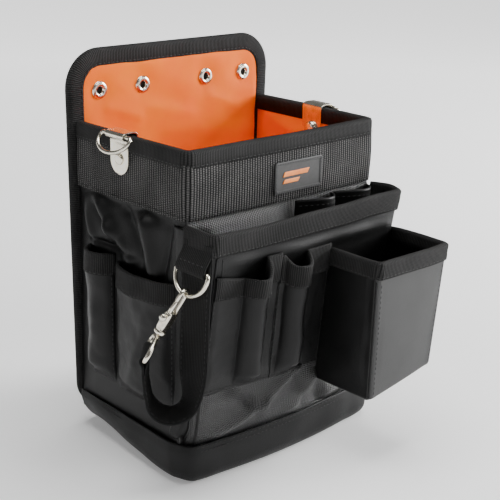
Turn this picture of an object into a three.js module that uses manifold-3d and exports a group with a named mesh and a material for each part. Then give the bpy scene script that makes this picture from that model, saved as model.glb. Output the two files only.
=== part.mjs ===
// Electrician's belt pouch: sewn panels, bound edges, snap-on belt straps, two ring hangers
// and a webbing strap that closes on a small bolt snap. Millimetres, +Z up, -Y is the front.
// The origin is on the underside of the base, below the middle of the main compartment.

import * as THREE from 'three';
import { mergeVertices } from 'three/addons/utils/BufferGeometryUtils.js';
import Module from 'manifold-3d';

const wasm = await Module();
wasm.setup();

// ---------------------------------------------------------------- driving dimensions

const GAP = 0.3;                  // air between sewn layers
const WEBBING = 50;               // rim webbing, standard 50 mm tape
const FABRIC = 1.6;               // coated outer fabric
const LINING = 1.0;
const TAPE = 1.2;                 // ribbed binding tape

const RIM_HALF_WIDTH = 98.2;      // outside of the rim webbing
const RIM_FRONT = -63.8;
const RIM_TOP = 254.5;
const RIM_BAND_THICKNESS = 2.2;
const RIM_CORNER = 5;
const RIM_FOLD = 11;              // height of the tape folded over the rim

const BACK_TOP = 308.5;            // back panel, outside of its binding
const BACK_BOTTOM = 14;
const BACK_HALF_TOP = 104.5;
const BACK_HALF_BOTTOM = 99;
const BACK_CORNER_TOP = 31;
const BACK_CORNER_BOTTOM = 22;
const BACK_TAPE = 14;             // visible width of the back binding
const BACK_FACE = 68;             // front of the orange lining on the back panel
const BOARD = 4;                  // stiff back board

const BASE_BOARD = 3.2;
const BOOT_TOP = 33;              // dark boot sewn round the bottom
const BOOT_HALF_WIDTH = 103;       // at the front corners
const BOOT_HALF_REAR = 98;

const POUCH_TOP = 200.5;          // front compartment
const POUCH_FRONT = -92.6;        // middle of its fabric at the mouth
const POUCH_LEFT = -97;
const POUCH_RIGHT_TOP = 99;
const POUCH_RIGHT_BOTTOM = 95;
const POUCH_TAPE = 17;
const POUCH_BULGE = 9;            // how far the bottom edge bows forward
const GUSSET_BACK = -55;          // rear edge of the left gusset, sewn to the left wall

const BOX_LEFT = 21;              // box pocket on the front
const BOX_RIGHT = 101;
const BOX_FRONT = -141;
const BOX_TOP = 168;
const BOX_BOTTOM = 58;
const BOX_TAPE = 13.5;
const BOX_PANEL = 1.6;

const POCKET_FABRIC = 1.2;

const SNAP_HEIGHT = 276;          // four snaps along the top of the back panel
const SNAP_OUTER_X = 75;
const SNAP_INNER_X = 33;
const STRAP_WIDTH = 64;           // belt strap
const STRAP_THICKNESS = 1.6;
const STRAP_HINGE_Y = 75.6;
const STRAP_HINGE_Z = 206;

const RING_WIRE = 3;              // hanger rings on the rim
const RING_HALF_WIDTH = 17.5;     // to the middle of the wire
const RING_DEPTH = 14.5;
const RING_CORNER = 3;
const RING_TILT = 38;             // degrees that a ring stands off the wall
const HANGER_LEFT_Y = 10.5;
const HANGER_RIGHT_Y = -1;
const HANGER_WIDTH = 21;
const HANGER_PLATE = 1.0;
const HANGER_TIP = 224.7;
const HANGER_BAR_X = 102;
const HANGER_BAR_Z = 254.6;
const HANGER_RIVET_Z = 236.5;
const RIVET_SHANK = 4;

const HOOK_STRAP = 30;            // tape-holder strap, 30 mm webbing
const HOOK_STRAP_THICKNESS = 1.8;
const HOOK_Y = -78;
const HOOK_BAR_X = -103.9;
const HOOK_BAR_Z = 175;
const HOOK_RING_DEPTH = 18.5;
const HOOK_RING_HALF_WIDTH = 16.8;
const HOOK_RING_TILT = 17;
const HOOK_DIRECTION = new THREE.Vector3(-0.364, 0.346, -0.864).normalize();
const EYE_BAR_DIRECTION = new THREE.Vector3(0.69, 0.72, 0);
const HOOK_EYE_DISTANCE = 52;     // from the bight's centre to the eye's bar

const STEEL = { color: 0xd9d4c4, roughness: 0.22, metalness: 1 };
const BLACK_PVC = { color: 0x1b1c1c, roughness: 0.5, metalness: 0 };
const SATIN_PVC = { color: 0x4a4a49, roughness: 0.42, metalness: 0 };
const BLACK_WEAVE = { color: 0x191a1b, roughness: 0.38, metalness: 0 };
const BLACK_TAPE = { color: 0x242525, roughness: 0.8, metalness: 0 };
const ORANGE = { color: 0xf4662a, roughness: 0.6, metalness: 0 };
const PATCH_GREY = { color: 0x3a3c3e, roughness: 0.6, metalness: 0 };

// ---------------------------------------------------------------- solids and helpers

const mix = THREE.MathUtils.lerp;
const radians = THREE.MathUtils.degToRad;
const pouch = new THREE.Group();

function add(name, geometry, finish, parent = pouch) {
  const mesh = new THREE.Mesh(geometry, new THREE.MeshStandardMaterial(finish));
  mesh.name = name;
  parent.add(mesh);
  return mesh;
}

function toSolid(geometry) {
  const bare = geometry.clone();
  bare.deleteAttribute('normal');
  bare.deleteAttribute('uv');
  const merged = mergeVertices(bare, 1e-4);
  return new wasm.Manifold(new wasm.Mesh({
    numProp: 3,
    vertProperties: new Float32Array(merged.attributes.position.array),
    triVerts: new Uint32Array(merged.index.array),
  }));
}

function toGeometry(solid) {
  const mesh = solid.getMesh();
  const geometry = new THREE.BufferGeometry();
  geometry.setAttribute('position', new THREE.BufferAttribute(mesh.vertProperties, 3));
  geometry.setIndex(new THREE.BufferAttribute(mesh.triVerts, 1));
  return geometry;
}

function cut(geometry, ...tools) {
  return toGeometry(tools.reduce((solid, tool) => solid.subtract(toSolid(tool)), toSolid(geometry)));
}

function join(geometry, ...others) {
  return toGeometry(others.reduce((solid, other) => solid.add(toSolid(other)), toSolid(geometry)));
}

function common(geometry, other) {
  return toGeometry(toSolid(geometry).intersect(toSolid(other)));
}

function block(x0, x1, y0, y1, z0, z1) {
  const geometry = new THREE.BoxGeometry(x1 - x0, y1 - y0, z1 - z0);
  return geometry.translate((x0 + x1) / 2, (y0 + y1) / 2, (z0 + z1) / 2);
}

function prism(shape, depth, curveSegments = 5) {
  return new THREE.ExtrudeGeometry(shape, { depth, curveSegments, bevelEnabled: false });
}

// A shape drawn in plan, raised from z0 to z1.
function raised(shape, z0, z1, curveSegments) {
  return prism(shape, z1 - z0, curveSegments).translate(0, 0, z0);
}

// A shape drawn in (x, z), spread from y0 to y1.
function spreadY(shape, y0, y1, curveSegments) {
  return prism(shape, y1 - y0, curveSegments).rotateX(Math.PI / 2).translate(0, y1, 0);
}

// A shape drawn in (y, z), spread from x0 to x1.
function spreadX(shape, x0, x1, curveSegments) {
  const geometry = prism(shape, x1 - x0, curveSegments);
  return geometry.rotateX(Math.PI / 2).rotateZ(Math.PI / 2).translate(x0, 0, 0);
}

// A round bar between two points.
function rod(from, to, radius, sides = 12) {
  const along = new THREE.Vector3().subVectors(to, from);
  const geometry = new THREE.CylinderGeometry(radius, radius, along.length(), sides);
  const turn = new THREE.Quaternion().setFromUnitVectors(new THREE.Vector3(0, 1, 0), along.clone().normalize());
  return geometry.applyQuaternion(turn).translate(...from.clone().add(to).multiplyScalar(0.5).toArray());
}

// A thin panel: a flat box of cells moved onto surface(u, v), half its thickness on each side.
function sheet(columns, rows, thickness, surface) {
  const geometry = new THREE.BoxGeometry(1, 1, 1, columns, rows, 1);
  const position = geometry.attributes.position;
  const step = 1e-3;
  for (let i = 0; i < position.count; i += 1) {
    const u = position.getX(i) + 0.5;
    const v = position.getY(i) + 0.5;
    const alongU = surface(Math.min(1, u + step), v).sub(surface(Math.max(0, u - step), v));
    const alongV = surface(u, Math.min(1, v + step)).sub(surface(u, Math.max(0, v - step)));
    const normal = alongU.cross(alongV).normalize();
    const point = surface(u, v).addScaledVector(normal, position.getZ(i) * thickness);
    position.setXYZ(i, point.x, point.y, point.z);
  }
  return geometry;
}

// A closed wire of round section that follows a flat closed path drawn in (y, z).
function wireLoop(path, wire, steps, sides = 8) {
  const geometry = new THREE.TorusGeometry(10, 1, sides, steps);
  const position = geometry.attributes.position;
  for (let i = 0; i < position.count; i += 1) {
    const step = i % (steps + 1);
    const turn = (Math.floor(i / (steps + 1)) / sides) * 2 * Math.PI;
    const place = (step % steps) / steps;
    const centre = path.getPointAt(place);
    const tangent = path.getTangentAt(place);
    const out = (wire / 2) * Math.cos(turn);
    const side = (wire / 2) * Math.sin(turn);
    position.setXYZ(i, side, centre.x + tangent.y * out, centre.y - tangent.x * out);
  }
  return geometry;
}

// A strip of even thickness either side of an open path, as a flat shape.
function stripShape(path, thickness, divisions) {
  const left = [];
  const right = [];
  for (let i = 0; i <= divisions; i += 1) {
    const point = path.getPointAt(i / divisions);
    const tangent = path.getTangentAt(i / divisions);
    const side = new THREE.Vector2(-tangent.y, tangent.x).multiplyScalar(thickness / 2);
    left.push(point.clone().add(side));
    right.unshift(point.clone().sub(side));
  }
  return new THREE.Shape([...left, ...right]);
}

// Plan of a strip round the left side, the front and the right side of the main compartment.
function wrapShape(halfWidth, front, back, thickness, corner) {
  const inner = corner - thickness;
  const shape = new THREE.Shape();
  shape.moveTo(-halfWidth, back);
  shape.lineTo(-halfWidth, front + corner);
  shape.absarc(-halfWidth + corner, front + corner, corner, Math.PI, 1.5 * Math.PI, false);
  shape.lineTo(halfWidth - corner, front);
  shape.absarc(halfWidth - corner, front + corner, corner, -Math.PI / 2, 0, false);
  shape.lineTo(halfWidth, back);
  shape.lineTo(halfWidth - thickness, back);
  shape.lineTo(halfWidth - thickness, front + corner);
  shape.absarc(halfWidth - corner, front + corner, inner, 0, -Math.PI / 2, true);
  shape.lineTo(-halfWidth + corner, front + thickness);
  shape.absarc(-halfWidth + corner, front + corner, inner, -Math.PI / 2, -Math.PI, true);
  shape.closePath();
  return shape;
}

// Point at place u, from 0 to 1, along a row of points.
function pointAlong(points, u) {
  const place = Math.min(u * (points.length - 1), points.length - 1.0001);
  const i = Math.floor(place);
  return points[i].clone().lerp(points[i + 1], place - i);
}

// Points round a corner that starts at from and ends at to.
function cornerPoints(from, corner, to) {
  return new THREE.QuadraticBezierCurve(from, corner, to).getPoints(3);
}

// Plan of a band round the left side, the front and the right side of a box, its back ends open.
function wrapPoints(left, right, front, leftBack, rightBack, corner) {
  const point = (x, y) => new THREE.Vector2(x, y);
  return [
    point(left, leftBack),
    ...cornerPoints(point(left, front + corner), point(left, front), point(left + corner, front)),
    ...cornerPoints(point(right - corner, front), point(right, front), point(right, front + corner)),
    point(right, rightBack),
  ];
}

// Tape folded over an edge whose plan at height z is plan(z): up the outside, over and down inside.
function foldedTape(name, plan, halfGap, low, top) {
  const fold = [[1, low], [1, top - 0.8], [0, top], [-1, top - 0.8], [-1, low]].map((pair) => new THREE.Vector2(...pair));
  const reach = 1e-3;
  add(name, sheet(plan(low).length - 1, fold.length - 1, TAPE, (u, v) => {
    const { x: side, y: z } = pointAlong(fold, v);
    const points = plan(z);
    const middle = pointAlong(points, u);
    const ahead = pointAlong(points, Math.min(1, u + reach));
    const run = ahead.sub(pointAlong(points, Math.max(0, u - reach))).normalize();
    return new THREE.Vector3(middle.x + run.y * side * halfGap, middle.y - run.x * side * halfGap, z);
  }), BLACK_TAPE);
}

// ---------------------------------------------------------------- back panel

// Outline of the back panel in (x, z), drawn inside its outer edge by inset.
function backOutline(inset) {
  const topHalf = BACK_HALF_TOP - inset;
  const bottomHalf = BACK_HALF_BOTTOM - inset;
  const top = BACK_TOP - inset;
  const bottom = BACK_BOTTOM + inset;
  const topCorner = BACK_CORNER_TOP - inset;
  const bottomCorner = BACK_CORNER_BOTTOM - inset;
  const shape = new THREE.Shape();
  shape.moveTo(-bottomHalf + bottomCorner, bottom);
  shape.lineTo(bottomHalf - bottomCorner, bottom);
  shape.quadraticCurveTo(bottomHalf, bottom, bottomHalf + 0.6, bottom + bottomCorner);
  shape.lineTo(topHalf, top - topCorner);
  shape.absarc(topHalf - topCorner, top - topCorner, topCorner, 0, Math.PI / 2, false);
  shape.lineTo(-topHalf + topCorner, top);
  shape.absarc(-topHalf + topCorner, top - topCorner, topCorner, Math.PI / 2, Math.PI, false);
  shape.lineTo(-bottomHalf - 0.6, bottom + bottomCorner);
  shape.quadraticCurveTo(-bottomHalf, bottom, -bottomHalf + bottomCorner, bottom);
  return shape;
}

const SNAP_XS = [-SNAP_OUTER_X, -SNAP_INNER_X, SNAP_INNER_X, SNAP_OUTER_X];
const STUD_BARREL = 2.5;
const BOARD_FRONT = BACK_FACE + LINING + GAP;
const BOARD_BACK = BOARD_FRONT + BOARD;

function snapHole(x, radius) {
  return rod(new THREE.Vector3(x, BACK_FACE - 9, SNAP_HEIGHT), new THREE.Vector3(x, BOARD_BACK + 14, SNAP_HEIGHT), radius);
}

function addBackPanel() {
  const holes = SNAP_XS.map((x) => snapHole(x, STUD_BARREL + GAP));
  const lining = spreadY(backOutline(TAPE + GAP), BACK_FACE, BACK_FACE + LINING);
  const board = spreadY(backOutline(TAPE + GAP), BOARD_FRONT, BOARD_BACK);
  add('back_lining', cut(lining, ...holes), ORANGE);
  add('back_board', cut(board, ...holes), BLACK_PVC);

  const rim = backOutline(0);
  rim.holes.push(backOutline(BACK_TAPE));
  const outer = spreadY(rim, BACK_FACE - GAP - TAPE, BOARD_BACK + GAP + TAPE);
  const groove = spreadY(backOutline(TAPE), BACK_FACE - GAP, BOARD_BACK + GAP);
  add('back_binding', cut(outer, groove), BLACK_TAPE);
}

// Ring-head stud: an open ring on the lining, a barrel through the panel and a stud behind.
function studGeometry() {
  const front = BACK_FACE - GAP;
  const back = BOARD_BACK + GAP;
  const profile = [
    [0, 3.0], [2.0, 3.0], [2.0, -0.8], [6.6, -0.8], [7.2, 0],
    [2.5, 0], [2.5, back - front], [5.4, back - front], [5.4, back - front + 1],
    [2.8, back - front + 1], [2.8, back - front + 3.4], [0, back - front + 3.4],
  ].map(([radius, depth]) => new THREE.Vector2(radius, depth));
  return new THREE.LatheGeometry(profile, 12).translate(0, front, 0);
}

// Snap cap with its socket: cap behind the strap, barrel through it, socket in front of it.
const SOCKET_FRONT = BOARD_BACK + GAP + 1 + GAP;
const SOCKET_DEPTH = 3.4;
const STRAP_SNAP_Y = SOCKET_FRONT + SOCKET_DEPTH + GAP + STRAP_THICKNESS / 2;

function capGeometry() {
  const strapBack = SOCKET_DEPTH + GAP + STRAP_THICKNESS + GAP;
  const profile = [
    [0, 3.1], [3.4, 3.1], [3.4, 0], [6.2, 0], [6.2, SOCKET_DEPTH],
    [2.2, SOCKET_DEPTH], [2.2, strapBack], [7.6, strapBack], [6.6, strapBack + 1.2], [0, strapBack + 1.7],
  ].map(([radius, depth]) => new THREE.Vector2(radius, depth));
  return new THREE.LatheGeometry(profile, 12).translate(0, SOCKET_FRONT, 0);
}

function addSnapStuds() {
  SNAP_XS.forEach((x, i) => {
    add(`snap_stud_${i + 1}`, studGeometry(), STEEL).position.set(x, 0, SNAP_HEIGHT);
  });
}

// Belt strap: sewn foot below, free flap that bows over the belt and snaps at the top.
function addBeltStrap(name, side, snapXs, firstCap) {
  const centre = (side * (SNAP_OUTER_X + SNAP_INNER_X)) / 2;
  const x0 = centre - STRAP_WIDTH / 2;
  const x1 = centre + STRAP_WIDTH / 2;
  const footFront = BOARD_BACK + GAP;
  add(`${name}_foot`, block(x0, x1, footFront, footFront + STRAP_THICKNESS, 182, 204.8), BLACK_TAPE);

  const run = new THREE.Path();
  run.moveTo(STRAP_HINGE_Y, STRAP_HINGE_Z);
  run.lineTo(STRAP_HINGE_Y + 5.8, 211);
  run.quadraticCurveTo(STRAP_HINGE_Y + 7.6, 236, STRAP_HINGE_Y + 6, 260);
  run.quadraticCurveTo(STRAP_HINGE_Y + 5.4, 266, STRAP_SNAP_Y, 267.5);
  run.lineTo(STRAP_SNAP_Y, 292);
  const flap = spreadX(stripShape(run, STRAP_THICKNESS, 16), x0, x1);
  const holes = snapXs.map((x) => snapHole(x, 2.2 + GAP));
  add(`${name}_flap`, cut(flap, ...holes), BLACK_TAPE);
  snapXs.forEach((x, i) => {
    add(`snap_cap_${firstCap + i}`, capGeometry(), STEEL).position.set(x, 0, SNAP_HEIGHT);
  });
}

// ---------------------------------------------------------------- main compartment

const WALL_OUTSIDE = RIM_HALF_WIDTH - RIM_BAND_THICKNESS - GAP;
const WALL_INSIDE = WALL_OUTSIDE - FABRIC;
const LINING_OUTSIDE = WALL_INSIDE - GAP;
const LINING_INSIDE = LINING_OUTSIDE - LINING;
const FRONT_OUTSIDE = RIM_FRONT + RIM_BAND_THICKNESS + GAP;
const FRONT_INSIDE = FRONT_OUTSIDE + FABRIC;
const WALL_BACK = BACK_FACE - 2 * GAP - TAPE;
const WALL_BOTTOM = BASE_BOARD + GAP;
const WALL_TOP = RIM_TOP - TAPE - GAP;
const BAND_TOP = RIM_TOP - RIM_FOLD - GAP;

const hangerY = (side) => (side < 0 ? HANGER_LEFT_Y : HANGER_RIGHT_Y);

function rivetHole(side) {
  const inside = new THREE.Vector3(side * (LINING_INSIDE - 9), hangerY(side), HANGER_RIVET_Z);
  const outside = new THREE.Vector3(side * (RIM_HALF_WIDTH + 9), hangerY(side), HANGER_RIVET_Z);
  return rod(inside, outside, RIVET_SHANK / 2 + GAP);
}

function addMainCompartment() {
  for (const [name, side] of [['left', -1], ['right', 1]]) {
    const wallX = [side * WALL_OUTSIDE, side * WALL_INSIDE].sort((a, b) => a - b);
    const liningX = [side * LINING_OUTSIDE, side * LINING_INSIDE].sort((a, b) => a - b);
    const wall = block(...wallX, FRONT_INSIDE + GAP, WALL_BACK, WALL_BOTTOM, WALL_TOP);
    const lining = block(...liningX, FRONT_INSIDE + 2 * GAP + LINING, WALL_BACK, WALL_BOTTOM, WALL_TOP);
    add(`${name}_wall`, cut(wall, rivetHole(side)), BLACK_PVC);
    add(`${name}_lining`, cut(lining, rivetHole(side)), ORANGE);
  }
  const frontHalf = LINING_OUTSIDE;
  add('front_wall', block(-frontHalf, frontHalf, FRONT_OUTSIDE, FRONT_INSIDE, WALL_BOTTOM, WALL_TOP), BLACK_PVC);
  add('front_lining', block(
    -frontHalf, frontHalf, FRONT_INSIDE + GAP, FRONT_INSIDE + GAP + LINING, WALL_BOTTOM, WALL_TOP,
  ), ORANGE);

  const band = raised(
    wrapShape(RIM_HALF_WIDTH, RIM_FRONT, WALL_BACK, RIM_BAND_THICKNESS, RIM_CORNER),
    RIM_TOP - WEBBING, BAND_TOP,
  );
  add('rim_band', cut(band, rivetHole(-1), rivetHole(1)), BLACK_TAPE);

  const layers = WALL_OUTSIDE - LINING_INSIDE;
  const middleX = (WALL_OUTSIDE + LINING_INSIDE) / 2;
  const middleY = FRONT_OUTSIDE + layers / 2;
  const plan = () => wrapPoints(-middleX, middleX, middleY, WALL_BACK, WALL_BACK, 1.5);
  foldedTape('rim_binding', plan, layers / 2 + 2 * GAP + TAPE / 2, RIM_TOP - RIM_FOLD, RIM_TOP - TAPE / 2);
}

function addLabelPatch() {
  const shape = new THREE.Shape();
  const [left, right, bottom, top, corner] = [-15, 35, 211, 235, 1.5];
  shape.moveTo(left + corner, bottom);
  shape.lineTo(right - corner, bottom);
  shape.quadraticCurveTo(right, bottom, right, bottom + corner);
  shape.lineTo(right, top - corner);
  shape.quadraticCurveTo(right, top, right - corner, top);
  shape.lineTo(left + corner, top);
  shape.quadraticCurveTo(left, top, left, top - corner);
  shape.lineTo(left, bottom + corner);
  shape.quadraticCurveTo(left, bottom, left + corner, bottom);
  add('label_patch', spreadY(shape, RIM_FRONT - GAP - 1.4, RIM_FRONT - GAP, 3), PATCH_GREY);
}

// ---------------------------------------------------------------- front compartment

function pouchRight(z) {
  return mix(POUCH_RIGHT_BOTTOM, POUCH_RIGHT_TOP, THREE.MathUtils.clamp(z / POUCH_TOP, 0, 1));
}

// Middle of the front fabric: straight at the mouth, bowed forward at the bottom.
function pouchY(x, z) {
  const bottom = -66 - POUCH_BULGE * (1 - (x / POUCH_RIGHT_BOTTOM) ** 2);
  const lift = THREE.MathUtils.clamp(z / POUCH_TOP, 0, 1) ** 1.2;
  return mix(Math.min(bottom, -66), POUCH_FRONT, lift);
}

function onPouch(x, z, stand) {
  return new THREE.Vector3(x, pouchY(x, z) - stand, z);
}

// Plan of the right gusset, which bellies outwards towards the mouth. u runs from the wall to the front.
function rightGusset(u, z) {
  const edge = pouchRight(z);
  const rear = FRONT_OUTSIDE - FABRIC / 2 - GAP;
  const front = Math.min(pouchY(edge, z) + FABRIC / 2 + GAP, rear - 0.4);
  const belly = 4 * (z / POUCH_TOP) ** 1.5 * Math.sin(Math.PI * u);
  return new THREE.Vector2(mix(94.6, edge, mix(0.2, 1, u)) + belly, mix(rear, front, u));
}

// The left gusset laps onto the left wall.
function leftGusset(u, z) {
  return new THREE.Vector2(POUCH_LEFT, mix(GUSSET_BACK, pouchY(POUCH_LEFT, z) + FABRIC / 2 + GAP, u));
}

// Plan of the mouth at height z, from the left wall round the front to the right wall.
function mouthPoints(z) {
  const point = (x, y) => new THREE.Vector2(x, y);
  const right = pouchRight(z);
  const corner = 4;
  const [frontLeft, frontRight] = [pouchY(POUCH_LEFT + corner, z), pouchY(right - corner, z)];
  return [
    point(POUCH_LEFT, FRONT_OUTSIDE - 1),
    ...cornerPoints(
      point(POUCH_LEFT, frontLeft + corner), point(POUCH_LEFT, frontLeft), point(POUCH_LEFT + corner, frontLeft),
    ),
    ...[-60, -30, 0, 30, 60].map((x) => point(x, pouchY(x, z))),
    ...cornerPoints(point(right - corner, frontRight), point(right + 1.6, frontRight), rightGusset(0.8, z)),
    ...[0.6, 0.4, 0.2, 0.1].map((place) => rightGusset(place, z)),
  ];
}

function addFrontCompartment() {
  const bottom = WALL_BOTTOM;
  add('pouch_front', sheet(10, 3, FABRIC, (u, v) => {
    const z = mix(bottom, POUCH_TOP, v);
    return onPouch(mix(POUCH_LEFT + 1.5, pouchRight(z) - 1.5, u), z, 0);
  }), BLACK_WEAVE);

  for (const [name, columns, gusset] of [['left', 1, leftGusset], ['right', 5, rightGusset]]) {
    add(`pouch_${name}_gusset`, sheet(columns, 3, FABRIC, (u, v) => {
      const z = mix(bottom, POUCH_TOP, v);
      const plan = gusset(u, z);
      return new THREE.Vector3(plan.x, plan.y, z);
    }), BLACK_PVC);
  }
  const mouthRoom = FABRIC / 2 + 3 * GAP + TAPE / 2;
  foldedTape('pouch_binding', mouthPoints, mouthRoom, POUCH_TOP - POUCH_TAPE, POUCH_TOP + GAP + TAPE);
}

// Height profile of a sleeve: drawn in to its bottom seam, full by a tenth of its height.
function fullness(v) {
  return Math.min(1, 0.06 + 6 * v);
}

// Sleeve pocket on the front fabric. skew above 1 moves its belly towards +X.
function sleeve(x0, x1, z0, z1, depth, skew, stand) {
  return (u, v) => {
    const x = mix(x0, x1, u);
    const z = mix(z0, z1, v);
    const belly = depth * Math.sin(Math.PI * u ** skew) ** 0.65 * fullness(v);
    return onPouch(x, z, stand + belly);
  };
}

function addTape(name, columns, surface, tapeFrom) {
  add(name, sheet(columns, 1, TAPE, (u, v) => surface(u, mix(tapeFrom, 1, v))), BLACK_TAPE);
}

function addSleeve(name, x0, x1, z0, z1, depth, skew) {
  const stand = FABRIC / 2 + GAP + POCKET_FABRIC / 2;
  add(name, sheet(11, 3, POCKET_FABRIC, sleeve(x0, x1, z0, z1, depth, skew, stand)), BLACK_PVC);
  const tapeStand = stand + POCKET_FABRIC / 2 + GAP + TAPE / 2;
  const inset = 1;
  addTape(`${name}_binding`, 14, sleeve(x0 - inset, x1 + inset, z0, z1, depth + 0.6, skew, tapeStand), 1 - 16 / (z1 - z0));
}

function addBoxPocket() {
  const top = BOX_TOP;
  const lean = 3;                        // the front face leans back towards its bottom
  const half = BOX_PANEL / 2;
  const seam = 3;                        // the panels stop short of the sewn corners
  const rear = (x, z) => pouchY(x, z) - FABRIC / 2 - GAP;
  const frontY = (z) => mix(BOX_FRONT + lean, BOX_FRONT, (z - BOX_BOTTOM) / (top - BOX_BOTTOM));
  const leftX = (z) => mix(BOX_LEFT + 2, BOX_LEFT, (z - BOX_BOTTOM) / (top - BOX_BOTTOM));
  const rightX = (z) => mix(BOX_RIGHT - 9, BOX_RIGHT, (z - BOX_BOTTOM) / (top - BOX_BOTTOM));
  const wallBottom = (u) => mix(BOX_BOTTOM, BOX_BOTTOM + 12, u);

  add('box_pocket_front', sheet(1, 1, BOX_PANEL, (u, v) => {
    const z = mix(wallBottom(u), top, v);
    return new THREE.Vector3(mix(leftX(z) + seam, rightX(z) - seam, u), frontY(z), z);
  }), SATIN_PVC);
  add('box_pocket_left_side', sheet(1, 3, BOX_PANEL, (u, v) => {
    const z = mix(BOX_BOTTOM, top, v);
    const x = leftX(z) + half;
    return new THREE.Vector3(x, mix(rear(x, z) - GAP, frontY(z) + seam, u), z);
  }), BLACK_PVC);
  add('box_pocket_right_side', sheet(1, 3, BOX_PANEL, (u, v) => {
    const z = mix(BOX_BOTTOM + 12, top, v);
    const x = rightX(z) - half;
    return new THREE.Vector3(x, mix(rear(Math.min(x, 95), z) - GAP, frontY(z) + seam, u), z);
  }), BLACK_PVC);
  add('box_pocket_floor', sheet(1, 1, BOX_PANEL, (u, v) => {
    const z = wallBottom(u) + half;
    const x = mix(leftX(z) + BOX_PANEL + 2 * GAP, rightX(z) - BOX_PANEL - 2 * GAP, u);
    return new THREE.Vector3(x, mix(frontY(z) + half + 2 * GAP, rear(x, z) - 2 * GAP, v), z);
  }), BLACK_PVC);

  const rim = (z) => {
    const [left, right] = [leftX(z) + half, rightX(z) - half];
    return wrapPoints(left, right, frontY(z), rear(left, z) - 1, rear(95, z) - 1, 4);
  };
  foldedTape('box_pocket_binding', rim, half + 4 * GAP + TAPE / 2, top - BOX_TAPE, top + GAP + TAPE);
}

// Tool loops sewn on the front wall, inside the front compartment.
function addInnerLoop(name, x0, x1) {
  const stand = POCKET_FABRIC / 2 + GAP;
  add(name, sheet(10, 3, POCKET_FABRIC, (u, v) => {
    const belly = 13 * Math.sin(Math.PI * u ** 1.5) ** 0.65 * fullness(v);
    return new THREE.Vector3(mix(x0, x1, u), FRONT_OUTSIDE - stand - belly, mix(104, 197, v));
  }), BLACK_PVC);
}

// ---------------------------------------------------------------- side pockets

function addSidePocket(name, side, y0, y1, z0, z1, depth) {
  const surface = (extra, inset) => (u, v) => {
    const y = mix(y0 - inset, y1 + inset, u);
    const belly = depth * Math.sin(Math.PI * u) ** 0.55 * fullness(v) * mix(0.7, 1, v);
    return new THREE.Vector3(side * (WALL_OUTSIDE + extra + belly), y, mix(z0, z1, v));
  };
  const stand = GAP + POCKET_FABRIC / 2;
  add(name, sheet(10, 3, POCKET_FABRIC, surface(stand, 0)), BLACK_PVC);
  const tapeStand = stand + POCKET_FABRIC / 2 + GAP + TAPE / 2;
  addTape(`${name}_binding`, 10, surface(tapeStand + 0.4, 1), 1 - 16 / (z1 - z0));
}

// ---------------------------------------------------------------- base

// Plan of the boot, from its left rear end round the front, stand away from the pouch fabric.
function bootPlan(stand) {
  const frontPoint = (x) => new THREE.Vector2(x, pouchY(x, BOOT_TOP) - stand);
  const room = stand - FABRIC;
  const side = (sign) => [
    new THREE.Vector2(sign * (BOOT_HALF_REAR + room), WALL_BACK - 1),
    new THREE.Vector2(sign * (BOOT_HALF_WIDTH + room), -58),
    new THREE.Vector2(sign * (BOOT_HALF_WIDTH + room), frontPoint(84).y - 4),
    frontPoint(sign * 84),
  ];
  const [leftRear, ...leftCorner] = side(-1);
  const [rightRear, ...rightCorner] = side(1);
  return [
    leftRear, ...cornerPoints(...leftCorner),
    ...[-60, -40, -20, 0, 20, 40, 60].map(frontPoint),
    ...cornerPoints(...rightCorner.reverse()), rightRear,
  ];
}

function addBase() {
  const stand = FABRIC / 2 + 2 * GAP + TAPE;
  const plan = bootPlan(stand);
  add('base_board', raised(new THREE.Shape(bootPlan(stand - TAPE / 2 - GAP)), 0, BASE_BOARD), BLACK_PVC);
  add('base_boot', sheet(plan.length - 1, 1, TAPE, (u, v) => {
    const point = pointAlong(plan, u);
    return new THREE.Vector3(point.x, point.y, mix(0.6, BOOT_TOP, v));
  }), BLACK_TAPE);
}

// ---------------------------------------------------------------- rim ring hangers

function ringPath(halfWidth, depth, corner) {
  const path = new THREE.Path();
  path.moveTo(halfWidth - corner, 0);
  path.lineTo(-halfWidth + corner, 0);
  path.quadraticCurveTo(-halfWidth, 0, -halfWidth, -corner);
  path.absellipse(0, -corner, halfWidth, depth - corner, Math.PI, 2 * Math.PI, false);
  path.quadraticCurveTo(halfWidth, 0, halfWidth - corner, 0);
  return path;
}

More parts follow.
